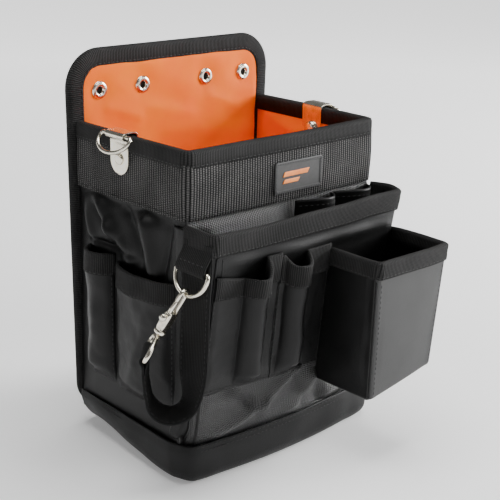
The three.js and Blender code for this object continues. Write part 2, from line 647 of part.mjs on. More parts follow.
// Plate folded over the rim, rolled round the ring's bar and riveted through the wall.
function hangerPlate(side) {
  const inner = LINING_INSIDE - GAP - TAPE - GAP - HANGER_PLATE / 2;
  const outer = RIM_HALF_WIDTH + 2 * GAP + HANGER_PLATE / 2;
  const roll = RING_WIRE / 2 + GAP + HANGER_PLATE / 2 + 0.3;
  const top = RIM_TOP + GAP + HANGER_PLATE / 2;
  const run = new THREE.Path();
  run.moveTo(side * inner, HANGER_TIP);
  run.lineTo(side * inner, top - 1.5);
  run.quadraticCurveTo(side * inner, top + 0.6, side * (inner + 2), top + 0.8);
  run.lineTo(side * (HANGER_BAR_X - 0.8), HANGER_BAR_Z + roll);
  run.quadraticCurveTo(side * (HANGER_BAR_X + roll), HANGER_BAR_Z + roll, side * (HANGER_BAR_X + roll), HANGER_BAR_Z);
  run.quadraticCurveTo(side * (HANGER_BAR_X + roll), HANGER_BAR_Z - roll, side * HANGER_BAR_X, HANGER_BAR_Z - roll);
  run.quadraticCurveTo(side * outer, HANGER_BAR_Z - roll, side * outer, HANGER_BAR_Z - roll - 3);
  run.lineTo(side * outer, HANGER_TIP);
  const middle = hangerY(side);
  const y0 = middle - HANGER_WIDTH / 2;
  const y1 = middle + HANGER_WIDTH / 2;
  const tip = HANGER_WIDTH / 2;
  const outline = new THREE.Shape();
  outline.moveTo(y1, HANGER_TIP + tip);
  outline.lineTo(y1, RIM_TOP + 10);
  outline.lineTo(y0, RIM_TOP + 10);
  outline.lineTo(y0, HANGER_TIP + tip);
  outline.absarc(middle, HANGER_TIP + tip, tip, Math.PI, 2 * Math.PI, false);
  const folded = spreadY(stripShape(run, HANGER_PLATE, 44), y0, y1);
  const rounded = common(folded, spreadX(outline, -RIM_HALF_WIDTH - 15, RIM_HALF_WIDTH + 15, 7));
  return cut(rounded, rivetHole(side));
}

// Rivet: low oval head outside, shank through the layers and a round button inside.
function hangerRivet(side) {
  const outside = RIM_HALF_WIDTH + 2 * GAP + HANGER_PLATE + GAP;
  const inside = LINING_INSIDE - GAP - TAPE - GAP - HANGER_PLATE - GAP;
  const radius = RIVET_SHANK / 2;
  const profile = [
    [0, inside - 3.4], [5.2, inside - 3.0], [6.4, inside - 1.8], [6.4, inside],
    [radius, inside], [radius, outside], [4.4, outside], [3.6, outside + 1.2], [0, outside + 1.5],
  ].map(([r, along]) => new THREE.Vector2(r, along));
  const rivet = new THREE.LatheGeometry(profile, 12);
  return rivet.rotateZ(side > 0 ? -Math.PI / 2 : Math.PI / 2).translate(0, hangerY(side), HANGER_RIVET_Z);
}

function addHangers() {
  for (const [name, side] of [['left', -1], ['right', 1]]) {
    add(`${name}_hanger_plate`, hangerPlate(side), STEEL);
    add(`${name}_hanger_rivet`, hangerRivet(side), STEEL);
    const ring = wireLoop(ringPath(RING_HALF_WIDTH, RING_DEPTH, RING_CORNER), RING_WIRE, 28);
    const mesh = add(`${name}_d_ring`, ring, STEEL);
    mesh.position.set(side * HANGER_BAR_X, hangerY(side), HANGER_BAR_Z);
    mesh.rotation.y = -side * radians(RING_TILT);
  }
}

// ---------------------------------------------------------------- tape-holder strap and bolt snap

const HOOK_RING_BOTTOM = new THREE.Vector3(
  HOOK_BAR_X - HOOK_RING_DEPTH * Math.sin(radians(HOOK_RING_TILT)),
  HOOK_Y,
  HOOK_BAR_Z - HOOK_RING_DEPTH * Math.cos(radians(HOOK_RING_TILT)),
);

// Webbing tab on the left gusset, folded round the bar of its ring.
function addHookTab() {
  const layer = HOOK_STRAP_THICKNESS;
  const eye = RING_WIRE / 2 + GAP + 0.3;
  const outer = eye + layer;
  const back = HOOK_BAR_X + outer;
  const shape = new THREE.Shape();
  shape.moveTo(back, 199);
  shape.lineTo(back - 2 * layer, 199);
  shape.lineTo(back - 2 * layer, HOOK_BAR_Z + 6);
  shape.lineTo(HOOK_BAR_X - outer, HOOK_BAR_Z + 1);
  shape.absarc(HOOK_BAR_X, HOOK_BAR_Z, outer, Math.PI, 2 * Math.PI, false);
  shape.closePath();
  const hole = new THREE.Path();
  hole.absarc(HOOK_BAR_X, HOOK_BAR_Z, eye, 0, 2 * Math.PI, true);
  shape.holes.push(hole);
  add('hook_tab', spreadY(shape, HOOK_Y - HOOK_STRAP / 2, HOOK_Y + HOOK_STRAP / 2), BLACK_TAPE);

  const path = ringPath(HOOK_RING_HALF_WIDTH, HOOK_RING_DEPTH, RING_CORNER);
  const ring = add('hook_d_ring', wireLoop(path, RING_WIRE, 28), STEEL);
  ring.position.set(HOOK_BAR_X, HOOK_Y, HOOK_BAR_Z);
  ring.rotation.y = radians(HOOK_RING_TILT);
}

// The snap is drawn upright, its bight at the origin and its eye below, then laid along HOOK_DIRECTION.
const BIGHT_RADIUS = 4.6;
const BIGHT_WIRE = 3.4;
const BARREL_TOP = -15;
const BARREL_BOTTOM = -33;
const BOLT_RADIUS = 1.5;
const EYE_WIRE = 3.6;

function hookPath() {
  const curve = new THREE.CurvePath();
  const spine = new THREE.Vector3(-BIGHT_RADIUS, 0, BARREL_TOP - 6);
  const shoulder = new THREE.Vector3(-BIGHT_RADIUS, 0, 0);
  const lead = new THREE.Vector3(BIGHT_RADIUS, 0, 0);
  const tip = new THREE.Vector3(BIGHT_RADIUS, 0, -4.6);
  const rise = BIGHT_RADIUS * 1.33;
  curve.add(new THREE.LineCurve3(spine, shoulder));
  curve.add(new THREE.CubicBezierCurve3(
    shoulder, new THREE.Vector3(-BIGHT_RADIUS, 0, rise), new THREE.Vector3(BIGHT_RADIUS, 0, rise), lead,
  ));
  curve.add(new THREE.LineCurve3(lead, tip));
  return curve;
}

function hookBody() {
  const section = new THREE.Shape().absarc(0, 0, BIGHT_WIRE / 2, 0, 2 * Math.PI, false);
  const bight = new THREE.ExtrudeGeometry(section, { extrudePath: hookPath(), steps: 20, curveSegments: 4 });
  const barrel = block(-6.6, 7, -3.6, 3.6, BARREL_BOTTOM + 3, BARREL_TOP);
  const collar = new THREE.CylinderGeometry(4.6, 4.6, 5, 16).rotateX(Math.PI / 2).translate(0, 0, BARREL_BOTTOM + 1.5);
  const bore = rod(
    new THREE.Vector3(BIGHT_RADIUS, 0, BARREL_TOP + 1), new THREE.Vector3(BIGHT_RADIUS, 0, BARREL_BOTTOM + 5),
    BOLT_RADIUS + GAP, 12,
  );
  const slot = block(BIGHT_RADIUS, 9, -1.8, 1.8, BARREL_BOTTOM + 3.5, BARREL_TOP - 1.5);
  const socket = rod(new THREE.Vector3(0, 0, BARREL_BOTTOM - 3), new THREE.Vector3(0, 0, BARREL_BOTTOM + 3), 2.5, 16);
  return cut(join(bight, barrel, collar), bore, slot, socket);
}

function hookBolt() {
  const top = -4.6 - GAP - 0.1;
  const shaft = rod(new THREE.Vector3(BIGHT_RADIUS, 0, top), new THREE.Vector3(BIGHT_RADIUS, 0, BARREL_TOP - 5), BOLT_RADIUS, 12);
  const knobHeight = BARREL_TOP - 3.5;
  const knob = rod(new THREE.Vector3(BIGHT_RADIUS, 0, knobHeight), new THREE.Vector3(10.2, 0, knobHeight), 1.4, 10);
  const head = rod(new THREE.Vector3(9, 0, knobHeight), new THREE.Vector3(11.4, 0, knobHeight), 2.6, 12);
  return join(shaft, knob, head);
}

// Swivel eye drawn in (y, z): a rounded triangle whose bar holds the strap, on a short post.
function hookEye() {
  const half = HOOK_STRAP / 2 + GAP + EYE_WIRE / 2;
  const bar = -HOOK_EYE_DISTANCE;
  const neck = BARREL_BOTTOM - 1 - EYE_WIRE / 2 - GAP;
  const path = new THREE.Path();
  path.moveTo(2, neck);
  path.lineTo(-2, neck);
  path.quadraticCurveTo(-half, neck - 3, -half, bar + 5);
  path.quadraticCurveTo(-half, bar, -half + 4, bar);
  path.lineTo(half - 4, bar);
  path.quadraticCurveTo(half, bar, half, bar + 5);
  path.quadraticCurveTo(half, neck - 3, 2, neck);
  const loop = wireLoop(path, EYE_WIRE, 32);
  const post = rod(new THREE.Vector3(0, 0, neck), new THREE.Vector3(0, 0, BARREL_BOTTOM + 2.4), 2, 12);
  return join(loop, post);
}

function hookFrame(xAxis) {
  const up = HOOK_DIRECTION.clone().negate();
  const across = xAxis.clone().addScaledVector(up, -xAxis.dot(up)).normalize();
  const depth = new THREE.Vector3().crossVectors(up, across);
  const group = new THREE.Group();
  group.quaternion.setFromRotationMatrix(new THREE.Matrix4().makeBasis(across, depth, up));
  const ringRest = BIGHT_RADIUS - BIGHT_WIRE / 2 - RING_WIRE / 2 - GAP;
  const contact = HOOK_RING_BOTTOM.clone().add(new THREE.Vector3(0, 3, 0.3));
  group.position.copy(contact).addScaledVector(up, -ringRest);
  pouch.add(group);
  return group;
}

function addBoltSnap() {
  const body = hookFrame(new THREE.Vector3(-1, -0.25, 0));
  add('hook_body', hookBody(), STEEL, body);
  add('hook_bolt', hookBolt(), STEEL, body);
  const eyeAcross = new THREE.Vector3().crossVectors(EYE_BAR_DIRECTION, HOOK_DIRECTION).negate();
  const eye = hookFrame(eyeAcross);
  add('hook_eye', hookEye(), STEEL, eye);
  return eye;
}

// Strap: down the gusset, round the bottom of the loop and up to the eye, turning as it goes.
function addHolderStrap(eye) {
  eye.updateMatrixWorld();
  const bar = new THREE.Vector3(0, 0, -HOOK_EYE_DISTANCE).applyMatrix4(eye.matrixWorld);
  const end = bar.clone().addScaledVector(new THREE.Vector3(0, 0, -1), EYE_WIRE / 2 + GAP + HOOK_STRAP_THICKNESS);
  const centre = new THREE.CatmullRomCurve3([
    new THREE.Vector3(-101.3, HOOK_Y, 168),
    new THREE.Vector3(-101.6, HOOK_Y, 140),
    new THREE.Vector3(-102.5, HOOK_Y, 106),
    new THREE.Vector3(-106, HOOK_Y + 3, 78),
    new THREE.Vector3(-114.5, HOOK_Y + 10, 62),
    new THREE.Vector3(-123.5, HOOK_Y + 17, 74),
    new THREE.Vector3(end.x - 1.0, end.y - 0.5, end.z - 16),
    end,
  ]);
  const startAcross = new THREE.Vector3(0, 1, 0);
  const endAcross = EYE_BAR_DIRECTION.clone().normalize();
  add('holder_strap', sheet(1, 28, HOOK_STRAP_THICKNESS, (u, v) => {
    const across = startAcross.clone().lerp(endAcross, THREE.MathUtils.smoothstep(v, 0.4, 0.75)).normalize();
    return centre.getPointAt(v).addScaledVector(across, (u - 0.5) * HOOK_STRAP);
  }), BLACK_TAPE);
}

// ---------------------------------------------------------------- assembly

addBackPanel();
addSnapStuds();
addBeltStrap('left_belt_strap', -1, SNAP_XS.slice(0, 2), 1);
addBeltStrap('right_belt_strap', 1, SNAP_XS.slice(2), 3);
addMainCompartment();
addLabelPatch();
addFrontCompartment();
addSleeve('tool_pocket_left', -93, -34, 76, 169, 12.5, 2);
addSleeve('tool_pocket_middle', -29, -1, 74, 167, 13, 1.2);
addBoxPocket();
addInnerLoop('inner_loop_left', 11, 51);
addInnerLoop('inner_loop_right', 53.5, 92);
addSidePocket('narrow_side_pocket', -1, 20, 50, 54, 160, 13);
addSidePocket('wide_side_pocket', -1, -53, 15, 50, 155, 12);
addSidePocket('right_side_pocket', 1, -53, 15, 50, 155, 12);
addBase();
addHangers();
addHookTab();
addHolderStrap(addBoltSnap());

export default pouch;
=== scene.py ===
"""Looks of the electrician's tool pouch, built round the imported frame. Lengths here are in millimetres
unless a name says otherwise; meshes are written in metres, in the frame's own axes."""

import math

import bmesh
import bpy
import numpy as np
from mathutils import Matrix, Vector, noise


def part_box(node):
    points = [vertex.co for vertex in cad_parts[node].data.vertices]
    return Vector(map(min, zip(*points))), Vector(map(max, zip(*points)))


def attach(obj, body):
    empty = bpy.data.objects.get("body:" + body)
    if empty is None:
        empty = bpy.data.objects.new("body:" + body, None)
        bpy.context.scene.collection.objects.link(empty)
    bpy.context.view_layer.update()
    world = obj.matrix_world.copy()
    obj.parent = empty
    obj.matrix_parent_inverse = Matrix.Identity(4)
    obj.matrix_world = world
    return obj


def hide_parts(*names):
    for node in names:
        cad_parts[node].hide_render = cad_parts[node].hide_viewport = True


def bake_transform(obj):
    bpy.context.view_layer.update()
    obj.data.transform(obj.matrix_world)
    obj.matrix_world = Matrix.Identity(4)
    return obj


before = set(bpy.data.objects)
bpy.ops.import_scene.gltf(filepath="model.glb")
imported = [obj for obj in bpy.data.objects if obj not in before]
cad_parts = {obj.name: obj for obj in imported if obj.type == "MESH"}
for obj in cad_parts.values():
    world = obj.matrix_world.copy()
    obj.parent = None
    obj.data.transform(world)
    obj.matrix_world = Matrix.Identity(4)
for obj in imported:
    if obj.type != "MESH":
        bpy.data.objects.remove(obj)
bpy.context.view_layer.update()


def span(node):
    """Lowest and highest corner of a CAD node, in millimetres."""
    low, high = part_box(node)
    return [c * 1000 for c in low], [c * 1000 for c in high]


band_low, band_high = span("rim_band")
panel_low, panel_high = span("back_binding")

HALF = band_high[0]                       # outside of the rim webbing
FRONT = band_low[1]
BAND_LOW = band_low[2]
RIM_TOP = span("rim_binding")[1][2]
WALL_HALF = -span("left_wall")[1][0] + 1.6        # outer face of the side walls
WALL_BACK = band_high[1]
LINING_HALF = -span("left_lining")[1][0]          # inner face of the side linings
PANEL_FACE = span("back_lining")[0][1]
BOARD_BACK = span("back_board")[1][1]
PANEL_TOP = panel_high[2]
PANEL_BOTTOM = panel_low[2]
PANEL_HALF = panel_high[0]
PANEL_HALF_LOW = 99
MOUTH_TOP = span("pouch_front")[1][2]     # front compartment
MOUTH_FRONT = -92.6
POUCH_LEFT = -97
POUCH_RIGHT_LOW = 95
POUCH_RIGHT_TOP = 99
BOOT_TOP = span("base_boot")[1][2]
RIB = 2.5                                 # pitch of the webbing's ribs
HANGERS = {-1: 10.5, 1: -1.0}             # place along the side of each rim hanger


# ---------------------------------------------------------------- small tools

def mix(a, b, t):
    return a + (b - a) * t


def clamp(value, low=0.0, high=1.0):
    return max(low, min(high, value))


def ease(t):
    t = clamp(t)
    return t * t * (3 - 2 * t)


def bump_at(value, centre, width):
    return math.exp(-(((value - centre) / width) ** 2))


def inside(t, rate):
    """1 away from the ends of 0 to 1, easing to 0 at both."""
    return ease(t * rate) * ease((1 - t) * rate)


def rounded(near, corner):
    """How far a round corner draws back from its edge, near the edge."""
    return corner - math.sqrt(max(corner ** 2 - (corner - min(near, corner)) ** 2, 0))


def fold(point, start, end, width, height, fade=0.25):
    """Height at point of one fold that runs from start to end and fades at both ends."""
    along = (end[0] - start[0], end[1] - start[1])
    length = math.hypot(*along)
    rel = (point[0] - start[0], point[1] - start[1])
    place = (rel[0] * along[0] + rel[1] * along[1]) / length ** 2
    off = (rel[0] * along[1] - rel[1] * along[0]) / length
    ends = ease(0.5 + place / fade) * ease(0.5 + (1 - place) / fade)
    return height * ends * math.exp(1 - math.sqrt(1 + (1.7 * off / width) ** 2))


def folds(point, *rows):
    return sum(fold(point, *row) for row in rows)


def crinkle(x, y, z, scale, height, seed=0):
    """Smooth random height, the same on every run."""
    return height * noise.noise(Vector((x / scale + seed * 7.3, y / scale - seed * 3.1, z / scale + seed)))


def new_object(name, mesh, finish, body, nodes=(), smooth=True):
    piece = bpy.data.objects.new(name, mesh)
    bpy.context.scene.collection.objects.link(piece)
    if finish is not None:
        mesh.materials.append(finish.material)
    mesh.polygons.foreach_set("use_smooth", [smooth] * len(mesh.polygons))
    if isinstance(body, str):
        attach(piece, body)
    if nodes:
        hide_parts(*nodes)
    return piece


def bend(piece):
    """Applies a piece's modifiers and its transform to its mesh."""
    view = bpy.context.evaluated_depsgraph_get()
    whole = bpy.data.meshes.new_from_object(piece.evaluated_get(view))
    piece.modifiers.clear()
    piece.data = whole
    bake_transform(piece)


def grid_mesh(name, points, around=False, along=False, caps=False, uv_turn=False):
    """Mesh over a grid of points. Columns close when around is set, rows when along is set.
    The UV map holds true lengths in metres: u along the rows, v across them."""
    grid = np.asarray(points, float) / 1000
    rows, columns = grid.shape[:2]
    wide = np.concatenate([grid, grid[:, :1]], 1) if around else grid
    full = np.concatenate([wide, wide[:1]], 0) if along else wide
    step_u = np.linalg.norm(np.diff(full, axis=0), axis=2).mean(axis=1)
    step_v = np.linalg.norm(np.diff(full, axis=1), axis=2).mean(axis=0)
    u = np.concatenate([[0], np.cumsum(step_u)])
    v = np.concatenate([[0], np.cumsum(step_v)])
    if uv_turn:
        u, v = v, u
    faces = []
    uvs = []
    for i in range(full.shape[0] - 1):
        for j in range(full.shape[1] - 1):
            ring = [(i, j), (i, j + 1), (i + 1, j + 1), (i + 1, j)]
            faces.append([(a % rows) * columns + (b % columns) for a, b in ring])
            uvs.extend((v[a], u[b]) if uv_turn else (u[a], v[b]) for a, b in ring)
    if caps:
        for row, order in ((0, 1), (rows - 1, -1)):
            faces.append([row * columns + j for j in range(columns)][::order])
            uvs.extend((0.001 * j, 0) for j in range(columns))
    mesh = bpy.data.meshes.new(name)
    mesh.from_pydata(grid.reshape(-1, 3).tolist(), [], faces)
    layer = mesh.uv_layers.new(name="UVMap")
    layer.data.foreach_set("uv", np.asarray(uvs, "f").ravel())
    return mesh


def sheet_of(name, rows, finish, thickness, nodes=(), body="pouch", offset=0, **grid):
    """Sheet of real thickness through rows of points; at offset 0 they are its middle."""
    piece = new_object(name, grid_mesh(name, rows, **grid), finish, body, nodes)
    solid = piece.modifiers.new("thickness", "SOLIDIFY")
    solid.thickness = thickness / 1000
    solid.offset = offset
    return piece


def cloth(name, surface, rows, columns, finish, thickness, nodes=(), body="pouch", **grid):
    """Panel of cloth over surface(u, v)."""
    points = [[surface(i / rows, j / columns) for j in range(columns + 1)] for i in range(rows + 1)]
    return sheet_of(name, points, finish, thickness, nodes, body, **grid)


def section_loft(name, rings, finish, body="pouch", nodes=(), along=False, smooth=True):
    """Solid through closed rings of points."""
    mesh = grid_mesh(name, rings, around=True, along=along, caps=not along)
    return new_object(name, mesh, finish, body, nodes, smooth)


def lathe(name, profile, centre, axis, finish, body, nodes=(), sides=40):
    """Turned piece. The profile is (radius, distance along axis), closed on the axis at both ends."""
    turn = Vector((0, 0, 1)).rotation_difference(Vector(axis).normalized())
    rings = []
    for radius, reach in profile:
        ring = []
        for k in range(sides):
            angle = 2 * math.pi * k / sides
            offset = Vector((max(radius, 0.02) * math.cos(angle), max(radius, 0.02) * math.sin(angle), reach))
            ring.append(Vector(centre) + turn @ offset)
        rings.append(ring)
    return section_loft(name, rings, finish, body, nodes)


def wire(name, points, radius, finish, body, nodes=(), closed=False, sides=14):
    """Round wire through points; radius is a number or a function of the place along it, 0 to 1."""
    count = len(points)
    rings = []
    side = None
    for k, point in enumerate(points):
        before = points[k - 1] if closed or k else points[k]
        after = points[(k + 1) % count] if closed or k < count - 1 else points[k]
        tangent = (after - before).normalized()
        if side is None:
            side = tangent.orthogonal().normalized()
        side = (side - tangent * side.dot(tangent)).normalized()
        up = tangent.cross(side)
        size = radius(k / (count - 1)) if callable(radius) else radius
        turns = [2 * math.pi * s / sides for s in range(sides)]
        rings.append([point + (side * math.cos(a) + up * math.sin(a)) * size for a in turns])
    return section_loft(name, rings, finish, body, nodes, along=closed)


def smooth_path(points, count, closed=False):
    """Evenly spaced points on a smooth curve through the given ones."""
    nodes = [Vector(p) for p in points]
    size = len(nodes)
    dense = []
    for k in range(size if closed else size - 1):
        if closed:
            p0, p1, p2, p3 = (nodes[(k + s) % size] for s in (-1, 0, 1, 2))
        else:
            p0, p1, p2, p3 = (nodes[clamp(k + s, 0, size - 1)] for s in (-1, 0, 1, 2))
        for s in range(24):
            t = s / 24
            dense.append(0.5 * (2 * p1 + (p2 - p0) * t + (2 * p0 - 5 * p1 + 4 * p2 - p3) * t * t
                                + (3 * p1 - p0 - 3 * p2 + p3) * t ** 3))
    dense.append(nodes[0].copy() if closed else nodes[-1].copy())
    reach = [0.0]
    for a, b in zip(dense, dense[1:]):
        reach.append(reach[-1] + (b - a).length)
    out = []
    spot = 0
    for k in range(count):
        target = reach[-1] * k / (count if closed else count - 1)
        while spot < len(reach) - 2 and reach[spot + 1] < target:
            spot += 1
        gap = reach[spot + 1] - reach[spot] or 1
        out.append(dense[spot].lerp(dense[spot + 1], clamp((target - reach[spot]) / gap)))
    return out


def outward(line):
    """Each point of a plan line with its outward normal."""
    last = len(line) - 1
    turned = []
    for k, point in enumerate(line):
        tangent = (line[min(k + 1, last)] - line[max(k - 1, 0)]).normalized()
        turned.append((point, Vector((tangent.y, -tangent.x, 0))))
    return turned


def smooth_plan(points, count):
    return outward(smooth_path([(x, y, 0) for x, y in points], count))


def frame_on(surface, u, v):
    """Point and unit normal of a surface."""
    step = 2e-3
    u0, u1 = max(u - step, 0), min(u + step, 1)
    v0, v1 = max(v - step, 0), min(v + step, 1)
    across = Vector(surface(u1, v)) - Vector(surface(u0, v))
    along = Vector(surface(u, v1)) - Vector(surface(u, v0))
    return Vector(surface(u, v)), across.cross(along).normalized()


def line_on(surface, start, end, out, samples=60):
    """Points and normals along a line drawn on a surface from (u, v) to (u, v), out from its middle."""
    line = []
    for k in range(samples + 1):
        t = k / samples
        point, normal = frame_on(surface, mix(start[0], end[0], t), mix(start[1], end[1], t))
        line.append((point + normal * out, normal * math.copysign(1, out)))
    return line


def stitches(name, lines, body="pouch", length=3.0, gap=1.1, radius=0.34):
    """Rows of thread, one small bowed spindle for each stitch, along lines of (point, normal)."""
    rings = ((0.0, 0.0), (0.12, 0.8), (0.5, 1.0), (0.88, 0.8), (1.0, 0.0))
    sides = 5
    vertices = []
    faces = []
    for line in lines:
        reach = [0.0]
        for a, b in zip(line, line[1:]):
            reach.append(reach[-1] + (b[0] - a[0]).length)
        count = int(reach[-1] // (length + gap))
        spot = 0
        for k in range(count):
            middle = (k + 0.5) * reach[-1] / count
            while spot < len(reach) - 2 and reach[spot + 1] < middle:
                spot += 1
            share = (middle - reach[spot]) / max(reach[spot + 1] - reach[spot], 1e-6)
            centre = line[spot][0].lerp(line[spot + 1][0], share)
            tangent = (line[spot + 1][0] - line[spot][0]).normalized()
            normal = line[spot][1]
            side = tangent.cross(normal).normalized()
            base = len(vertices)
            for place, size in rings:
                sink = (2 * place - 1) ** 2 * radius * 1.1
                hub = centre + tangent * (place - 0.5) * length - normal * sink
                for s in range(sides):
                    angle = 2 * math.pi * s / sides
                    spoke = (side * math.cos(angle) + normal * math.sin(angle)) * radius * max(size, 0.1)
                    vertices.append((hub + spoke) / 1000)
            for r in range(len(rings) - 1):
                for s in range(sides):
                    nxt = (s + 1) % sides
                    faces.append([base + r * sides + s, base + r * sides + nxt,
                                  base + (r + 1) * sides + nxt, base + (r + 1) * sides + s])
    mesh = bpy.data.meshes.new(name)
    mesh.from_pydata(vertices, [], faces)
    return new_object(name, mesh, THREAD, body)


# ---------------------------------------------------------------- materials

class Finish:
    """A material on a node graph, with the record's slot it belongs to."""

    def __init__(self, name, slot, **shader):
        self.slot = slot
        self.material = bpy.data.materials.new(name)
        self.material.use_nodes = True
        self.tree = self.material.node_tree
        self.shader = next(n for n in self.tree.nodes if n.type == "BSDF_PRINCIPLED")
        for key, value in shader.items():
            self.shader.inputs[key.replace("_", " ")].default_value = value
        coordinates = self.tree.nodes.new("ShaderNodeTexCoord")
        self.uv = coordinates.outputs["UV"]
        self.place = coordinates.outputs["Object"]
        self.material.diffuse_color = self.shader.inputs["Base Color"].default_value

    def add(self, kind, inputs=(), **settings):
        made = self.tree.nodes.new("ShaderNode" + kind)
        for key, value in settings.items():
            setattr(made, key, value)
        for key, value in dict(inputs).items():
            self.set(made.inputs[key], value)
        return made

    def set(self, socket, value):
        if isinstance(value, bpy.types.NodeSocket):
            self.tree.links.new(value, socket)
        else:
            socket.default_value = value

    def math(self, operation, a, b=0.0, c=0.0):
        return self.add("Math", {0: a, 1: b, 2: c}, operation=operation).outputs[0]

    def map(self, value, low, high, out_low, out_high):
        made = self.add("MapRange", {0: value, 1: low, 2: high, 3: out_low, 4: out_high}, clamp=True)
        return made.outputs[0]

    def noise(self, scale, detail=3.0, source=None, roughness=0.55):
        inputs = {"Vector": source or self.place, "Scale": scale, "Detail": detail, "Roughness": roughness}
        return self.add("TexNoise", inputs).outputs["Fac"]

    def cells(self, scale, source=None):
        made = self.add("TexVoronoi", {"Vector": source or self.place, "Scale": scale}, feature="F1")
        return made.outputs["Distance"]

    def axes(self):
        """u and v of the UV map in millimetres."""
        split = self.add("SeparateXYZ", {0: self.uv})
        return self.math("MULTIPLY", split.outputs[0], 1000.0), self.math("MULTIPLY", split.outputs[1], 1000.0)

    def ridge(self, value, pitch, shift=0.0):
        """Round ridges of a pitch, 0 in the grooves and 1 on top."""
        turned = self.math("MULTIPLY_ADD", value, math.pi / pitch, shift)
        return self.math("ABSOLUTE", self.math("SINE", turned))

    def colour(self, factor, low, high, low_at=0.0, high_at=1.0):
        ramp = self.add("ValToRGB", {0: factor})
        ramp.color_ramp.elements[0].position = low_at
        ramp.color_ramp.elements[1].position = high_at
        ramp.color_ramp.elements[0].color = (*low, 1)
        ramp.color_ramp.elements[1].color = (*high, 1)
        self.set(self.shader.inputs["Base Color"], ramp.outputs[0])

    def rough(self, factor, low, high):
        self.set(self.shader.inputs["Roughness"], self.map(factor, 0.0, 1.0, low, high))

    def bump(self, height, distance_mm, strength=1.0):
        made = self.add("Bump", {"Height": height, "Strength": strength, "Distance": distance_mm / 1000})
        self.set(self.shader.inputs["Normal"], made.outputs[0])
        self.set(self.shader.inputs["Coat Normal"], made.outputs[0])


def grey(value, warmth=0.0):
    return (value * (1 + warmth), value, value * (1 - warmth))


def webbing_finish(name, pitch, row, dark, light, depth):
    """Woven webbing: ribs across u, crossed by short picks that step from rib to rib. Its colour is dark in the grooves
    as painted shade and light on the rib tops as painted highlight, and varies in worn patches.
    """
    finish = Finish(name, "ribbed_tape", Roughness=0.7, Specular_IOR_Level=0.22)
    u, v = finish.axes()
    ribs = finish.ridge(u, pitch)
    step = finish.math("MULTIPLY", finish.math("FLOOR", finish.math("DIVIDE", u, pitch)), math.pi / 2)
    picks = finish.ridge(v, row, step)
    weave = finish.math("MULTIPLY", finish.math("POWER", ribs, 0.8), finish.map(picks, 0.0, 1.0, 0.45, 1.0))
    fuzz = finish.noise(2600.0, 2.0)
    worn = finish.noise(38.0, 3.0)
    tone = finish.math("MULTIPLY", weave, finish.map(worn, 0.3, 0.75, 0.75, 1.15))
    finish.colour(tone, grey(dark, 0.01), grey(light, 0.02), 0.3, 0.98)
    finish.rough(fuzz, 0.62, 0.86)
    finish.bump(finish.math("MULTIPLY_ADD", fuzz, 0.12, weave), depth)
    return finish


def coated_finish(name, slot, dark, light, low_rough, high_rough, grain=0.10):
    """Coated cloth: dull film over a fine plain weave, with a leathery grain and rubbed patches."""
    finish = Finish(name, slot, Roughness=0.5, Specular_IOR_Level=0.26)
    u, v = finish.axes()
    warp = finish.ridge(u, 0.55)
    weft = finish.ridge(v, 0.55)
    threads = finish.math("MULTIPLY", warp, weft)
    leather = finish.cells(900.0)
    cloud = finish.noise(24.0, 4.0)
    rub = finish.noise(120.0, 5.0, roughness=0.7)
    tone = finish.math("MULTIPLY_ADD", rub, 0.35, cloud)
    finish.colour(tone, grey(dark), grey(light), 0.35, 0.95)
    finish.rough(finish.math("MULTIPLY_ADD", rub, 0.5, finish.math("MULTIPLY", cloud, 0.5)), low_rough, high_rough)
    height = finish.math("ADD", finish.math("MULTIPLY", threads, 0.5), finish.math("MULTIPLY", leather, 0.7))
    finish.bump(finish.math("MULTIPLY_ADD", rub, 0.8, height), grain)
    return finish


def coarse_weave_finish():
    """Shiny coated coarse plain weave: raised square yarns that glint where a fold turns them."""
    finish = Finish("coarse_weave", "coarse_weave", Roughness=0.3, Specular_IOR_Level=0.6, Coat_Weight=0.5,
                    Coat_Roughness=0.24)
    u, v = finish.axes()
    pitch = 1.7
    column = finish.math("FLOOR", finish.math("DIVIDE", u, pitch))
    shift = finish.math("MULTIPLY", column, math.pi / 2)
    over = finish.math("MULTIPLY", finish.ridge(u, pitch), finish.ridge(v, pitch, shift))
    yarns = finish.math("POWER", over, 0.6)
    fine = finish.noise(1400.0, 2.0)
    cloud = finish.noise(30.0, 3.0)
    finish.colour(finish.math("MULTIPLY", yarns, cloud), grey(0.001), grey(0.010), 0.1, 0.7)
    finish.rough(finish.math("MULTIPLY_ADD", yarns, -0.6, finish.math("ADD", fine, 0.4)), 0.2, 0.48)
    finish.bump(finish.math("MULTIPLY_ADD", fine, 0.15, yarns), 0.55)
    return finish


def lining_finish():
    """Orange coated lining: smooth film over a fine weave, creased a little, paler where it is rubbed, with a faint
    orange glow that is painted light.
    """
    # The faint orange emission is painted light that brightens the lining in the compartment's shade.
    finish = Finish("orange_lining", "orange_lining", Roughness=0.5, Specular_IOR_Level=0.14,
                    Emission_Color=(1.0, 0.15, 0.0, 1.0), Emission_Strength=0.05)
    u, v = finish.axes()
    threads = finish.math("MULTIPLY", finish.ridge(u, 0.6), finish.ridge(v, 0.6))
    cloud = finish.noise(14.0, 4.0)
    rub = finish.noise(160.0, 4.0)
    tone = finish.math("MULTIPLY_ADD", rub, 0.25, cloud)
    finish.colour(tone, (1.0, 0.13, 0.0), (1.0, 0.22, 0.0), 0.3, 0.8)
    finish.rough(finish.math("MULTIPLY_ADD", threads, -0.2, rub), 0.45, 0.7)
    finish.bump(finish.math("MULTIPLY_ADD", rub, 0.5, threads), 0.08)
    return finish


